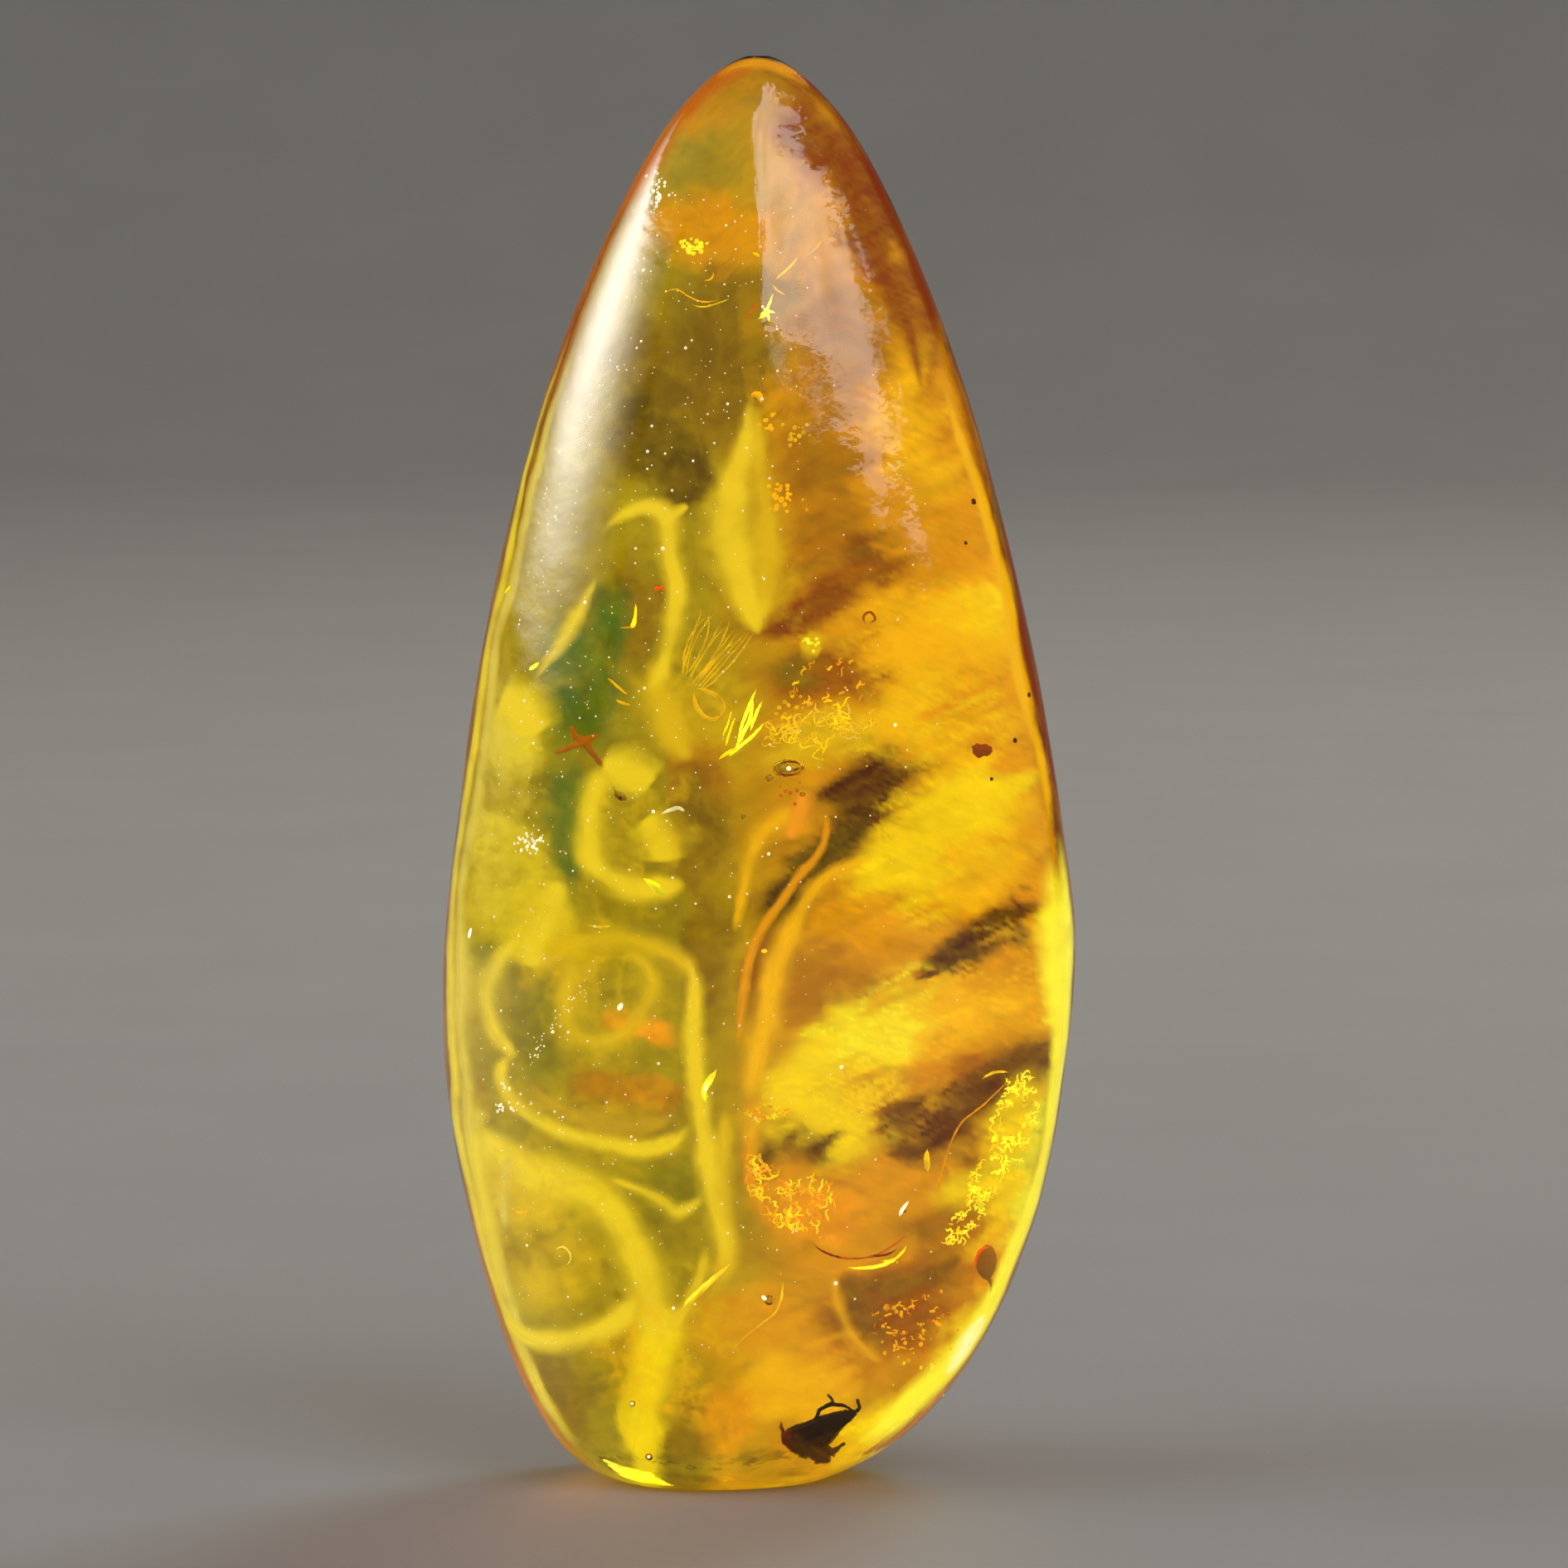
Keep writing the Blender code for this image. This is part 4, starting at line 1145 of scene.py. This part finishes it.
def make_specks(material):
    """Dark crumbs inside, and pale dust, a scratch and nicks under the skin, most of them on the left."""
    rng = np.random.default_rng(8)
    crumb_u, crumb_v, crumb_sizes = np.array(CRUMBS, float).T
    parts = grains(crumb_u, crumb_v, CRUMB_DEPTH, crumb_sizes, BARK)
    v = rng.uniform(230, 1640, DUST_GRAINS)
    middle, half_width, _ = section(seen_height(v))
    share = np.clip(rng.beta(1.3, 3.2, DUST_GRAINS), 0.03, 0.95)
    u = AXIS_U + (middle + half_width * (1.88 * share - 0.94)) / STEP
    parts += dust(u, v, rng.gamma(1.6, 0.28, DUST_GRAINS) + 0.45)
    steps = np.sort(rng.uniform(0, 1, SCRATCH_GRAINS))
    scratch_u = 720 - 90 * steps + rng.normal(0, 4, SCRATCH_GRAINS)
    scratch_v = 1160 + 130 * steps + rng.normal(0, 4, SCRATCH_GRAINS)
    parts += dust(scratch_u, scratch_v, rng.uniform(0.5, 1.2, SCRATCH_GRAINS))
    for middle_u, middle_v, spread_u, spread_v, count in NICKS:
        u, v = rng.normal(middle_u, spread_u, count), rng.normal(middle_v, spread_v, count)
        parts += dust(u, v, rng.uniform(0.8, 2.6, count))
    points, faces, colors = gather(parts)
    put_piece("specks_and_dust", points, faces, material, colors)


# Bubbles

# Each bubble: middle, half size across and down, and depth share.
BUBBLES = (
    (951, 927, 22, 14, 0.22), (928, 1568, 8, 8, 0.2), (783, 1757, 5, 5, 0.2), (763, 1693, 4, 4, 0.2),
    (928, 938, 6, 6, 0.25), (968, 958, 4, 4, 0.3), (897, 985, 4, 4, 0.3),
)


def make_bubbles():
    """Closed balls of gas: latitude rings of the half sizes across and up, in clear amber."""
    rings = ball(np.linspace(-np.pi / 2, np.pi / 2, 15)[1:-1], 22)
    parts = []
    for u, v, half_u, half_v, deep in BUBBLES:
        size = np.array([half_u, half_v, half_v]) * STEP / SWELL
        points, faces = closed_rings(rings * size, (0, 0, -size[2]), (0, 0, size[2]))
        parts.append((points + inside(u, v, deep), faces, paint(WHITE, 1.0, len(points))))
    points, faces, _ = gather(parts)
    shader = Shader("gas bubble")
    uneven = shader.span(shader.noise(shader.point(), 1500.0), 0.3, 0.7, 0.0, 0.06)
    gas = shader.principled(Roughness=uneven, IOR=1 / AMBER_IOR, Transmission_Weight=1.0)
    put_piece("gas_bubbles", points, faces, shader.finish(gas))


# Sealed things, whose solids stay

# Each finish: material name, lower and upper tone, the heights in mm between which they change, the grain's
# scale, roughness and painted glow, and where the body changes sideways too, the two places across and that
# tone.
SEALED_FINISHES = {
    "insect": ("insect shell", tone(114, 84, 24), tone(8, 2, 1), (3.2, 3.8), 1400.0, 0.5, 0.3,
               (1.2, 0.7, tone(126, 48, 12))),
    "seed": ("seed husk", tone(150, 110, 30), tone(170, 128, 36), (8.8, 10.0), 1200.0, 0.5, 0.45, None),
    "leaf_hair": ("leaf hair", tone(190, 128, 40), tone(214, 150, 54), (30.2, 32.0), 1800.0, 0.6, 0.5, None),
    "mite": ("mite shell", tone(150, 40, 10), tone(110, 26, 8), (28.6, 29.4), 1800.0, 0.4, 0.4, None),
    "bark_crumb": ("bark crumb", tone(84, 36, 10), tone(160, 88, 24), (30.5, 31.0), 1500.0, 0.8, 0.6, None),
}


def sealed_material(name, lower, upper, heights, scale, roughness, glow, side):
    """Dark organic matter: two tones mixed by grain and by height, with a fine rough skin and a painted glow.
    """
    shader = Shader(name)
    point = shader.point()
    x, _, height = shader.axes(point)
    uneven = height + shader.noise(point, scale, 4.0, 0.6) * 0.0012
    color = shader.mix(shader.span(uneven, heights[0] * MM, heights[1] * MM), opaque(lower), opaque(upper))
    bumps = shader.bump(shader.noise(point, scale * 2.5, 4.0, 0.6), 0.5, 0.0001)
    if side:
        uneven = x + shader.noise(point, scale, 2.0) * 0.0006
        color = shader.mix(shader.span(uneven, side[0] * MM, side[1] * MM), color, opaque(side[2]))
    return shader.finish(shader.principled(
        Base_Color=color, Roughness=roughness, Normal=bumps, Emission_Color=color, Emission_Strength=glow
    ))


def dress_sealed_things():
    """Gives each sealed solid its finish."""
    for name, finish in SEALED_FINISHES.items():
        material = sealed_material(*finish)
        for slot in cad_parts[name].material_slots:
            slot.material = material


# Stage

def direction(azimuth, elevation):
    """Unit vectors from the stone: azimuth 0 is the viewer's side and turns to the viewer's right."""
    turn, rise = np.radians(azimuth), np.radians(elevation)
    return np.stack([np.sin(turn) * np.cos(rise), -np.cos(turn) * np.cos(rise), np.sin(rise)], axis=-1)


def lamp(name, azimuth, elevation, away, side, radiance, color):
    """A square soft box that faces the stone, sizes in mm, and that no reflection shows.

    Its power is what gives its face that radiance: radiance by pi by area.
    """
    place = direction(azimuth, elevation) * away
    light = bpy.data.lights.new(name, "AREA")
    light.shape = "RECTANGLE"
    light.size = light.size_y = side * MM
    light.energy = radiance * math.pi * side * side * MM * MM
    light.color = color
    made = linked(name, light)
    made.location = (MIDDLE + place) * MM
    made.rotation_euler = Vector(-place).to_track_quat("-Z", "Y").to_euler()
    made.visible_camera = made.visible_glossy = False


def pale_floor():
    """A floor that curves up into a backdrop: a flat run, a quarter circle and a wall, carried across."""
    shader = Shader("pale floor")
    mottled = shader.noise(shader.point(), 60.0, 4.0)
    color = shader.mix(mottled, (0.20, 0.197, 0.19, 1.0), (0.23, 0.227, 0.22, 1.0))
    material = shader.finish(shader.principled(Base_Color=color, Roughness=0.6))
    bend = np.linspace(0, np.pi / 2, 24)
    near, back, radius, side, top = -900.0, 550.0, 200.0, 1400.0, 1400.0
    depth = np.r_[near, np.linspace(-300, back - 1, 8), back + radius * np.sin(bend), back + radius]
    height = np.r_[0.0, np.zeros(8), radius * (1 - np.cos(bend)), top]
    rows = np.stack([np.stack([np.full_like(depth, x), depth, height], 1) for x in (-side, side)], 1)
    faces = grid_faces(len(depth), 2)
    mesh = bpy.data.meshes.new("pale_floor")
    mesh.from_pydata((rows.reshape(-1, 3) * MM).tolist(), [], faces.tolist())
    mesh.shade_smooth()
    mesh.materials.append(material)
    linked("pale_floor", mesh)


PANEL_AWAY = 600.0
PANEL_COLUMNS, PANEL_ROWS = 130, 400
CORE_LIGHT, VEIL_LIGHT, SAIL_LIGHT = 13, 2.2, 3.9


def panel(name, azimuth, elevation, half_across, half_up, brightness, color):
    """A soft panel that only reflections show: a grid on a sphere round the stone, sizes in degrees.

    Its light at each place is the brightness function of the two shares, -1 to 1, across and up.
    """
    shares = np.linspace(-1, 1, PANEL_COLUMNS), np.linspace(-1, 1, PANEL_ROWS)
    across, up = np.meshgrid(*shares, indexing="ij")
    out = direction(azimuth + half_across * across, elevation + half_up * up)
    points = (MIDDLE + PANEL_AWAY * out).reshape(-1, 3) * MM
    light = np.clip(brightness(across, up), 0, None).reshape(-1, 1)
    colors = np.c_[light * np.array(color), np.ones(len(light))].astype(np.float32)
    mesh = bpy.data.meshes.new(name)
    mesh.from_pydata(points.tolist(), [], grid_faces(PANEL_COLUMNS, PANEL_ROWS).tolist())
    layer = mesh.color_attributes.new("paint", "FLOAT_COLOR", "POINT")
    layer.data.foreach_set("color", colors.ravel())
    shader = Shader(name)
    glow = shader.node("ShaderNodeEmission", None, {"Color": shader.painted(), "Strength": 1.0})
    clear = shader.node("ShaderNodeBsdfTransparent")
    lit = shader.node("ShaderNodeMath", {"operation": "GREATER_THAN"}, {0: shader.painted("Fac"), 1: 0.01})
    surface = shader.node("ShaderNodeMixShader", None, {0: lit, 1: clear, 2: glow})
    mesh.materials.append(shader.finish(surface))
    made = linked(name, mesh)
    made.visible_camera = made.visible_diffuse = made.visible_shadow = made.visible_transmission = False


def left_panel_light(across, up):
    """A long soft box: brightest along its middle, its upper edge firm and the others fading."""
    core = np.exp(-((across / 0.42) ** 2)) * smoothstep(1.0, 0.72, up) * smoothstep(-1.0, 0.3, up)
    veil = smoothstep(1.0, 0.2, np.abs(across)) * smoothstep(1.0, 0.8, up) * smoothstep(-1.0, 0.0, up)
    return CORE_LIGHT * core + VEIL_LIGHT * veil


# The right panel's edges, as the picture shows them mirrored: height share, then the edge's share across.
SAIL_LEFT = (
    (-0.96, 0.32), (-0.93, 0.25), (-0.87, 0.09), (-0.82, -0.05), (-0.75, -0.25), (-0.69, -0.30),
    (-0.58, -0.39), (-0.50, -0.43), (-0.47, -0.34), (-0.39, -0.46), (-0.36, -0.74), (-0.04, -0.88),
    (0.64, -0.98), (0.97, -0.10),
)
SAIL_RIGHT = (
    (-0.96, 0.33), (-0.83, 0.36), (-0.67, 0.38), (-0.54, 0.40), (-0.50, 0.35), (-0.40, 0.29),
    (-0.22, 0.33), (-0.10, 0.27), (-0.03, 0.21), (-0.015, 0.06), (0.0, 0.08), (0.25, 0.36),
    (0.47, 0.50), (0.80, 0.42), (0.97, 0.20),
)


def right_panel_light(across, up):
    """A sail: wide at the upper left, narrowing to the lower right, its edges frayed and finely jagged."""
    slow = 0.07 * drift(across * 100, up * 60, 9, 31, 2)
    jagged = 0.24 * drift(across * 8 + up * 16, up * 34, 1, 32, 3)
    left_edge = np.interp(up + 0.4 * slow, *np.transpose(SAIL_LEFT))
    right_edge = np.interp(up + 0.2 * slow, *np.transpose(SAIL_RIGHT))
    from_left, to_right = across - left_edge + slow + jagged, right_edge - across + slow + jagged
    patchy = 1 + 0.3 * drift(across * 100, up * 100, 22, 33, 4)
    end = 0.6 + 0.4 * smoothstep(-1.0, -0.6, up)
    return SAIL_LIGHT * patchy * end * smoothstep(0, 0.05, from_left) * smoothstep(0, 0.05, to_right)


def set_stage():
    """The floor, the lamps and the camera, which looks down a little at the stone's middle."""
    pale_floor()
    panel("left_panel", -92, 19, 52, 14, left_panel_light, (1.0, 0.97, 0.95))
    panel("right_panel", 42, 41, 52, 29, right_panel_light, (0.96, 0.90, 0.98))
    lamp("left_soft_box", -80, 34, 700, 500, 3, (1.0, 0.98, 0.97))
    lamp("right_soft_box", 38, 41, 700, 500, 3, (1.0, 0.94, 0.98))
    lamp("back_lamp", 150, 43, 600, 200, 22, (1.0, 0.94, 0.82))
    world = bpy.data.worlds.new("studio")
    world.use_nodes = True
    world.node_tree.nodes["Background"].inputs["Color"].default_value = (0.16, 0.16, 0.165, 1.0)
    bpy.context.scene.world = world
    camera = linked("camera", bpy.data.cameras.new("camera"))
    centre = MIDDLE + np.array([(PICTURE_SIDE / 2 - AXIS_U) * STEP, 0, 0])
    centre = centre + (seen_height(PICTURE_SIDE / 2) - MIDDLE[2] * math.cos(LOOK_DOWN)) * VIEW_UP
    camera.location = (centre - VIEW * CAMERA_AWAY) * MM
    camera.rotation_euler = (math.pi / 2 - LOOK_DOWN, 0, 0)
    camera.data.sensor_width = SENSOR
    camera.data.lens = SENSOR * CAMERA_AWAY / (PICTURE_SIDE * STEP)
    scene = bpy.context.scene
    scene.camera = camera
    scene.view_settings.view_transform = "Standard"
    scene.cycles.max_bounces = 9
    scene.cycles.transmission_bounces = 8
    scene.cycles.glossy_bounces = 4
    scene.cycles.diffuse_bounces = 2
    scene.cycles.transparent_max_bounces = 160
    scene.cycles.caustics_reflective = False
    scene.cycles.caustics_refractive = False


make_stone()
make_flow_sheets(flow_material())
make_strands(cloud_material())
gleam = thread_material()
make_threads(gleam)
make_specks(gleam)
make_bubbles()
dress_sealed_things()
set_stage()
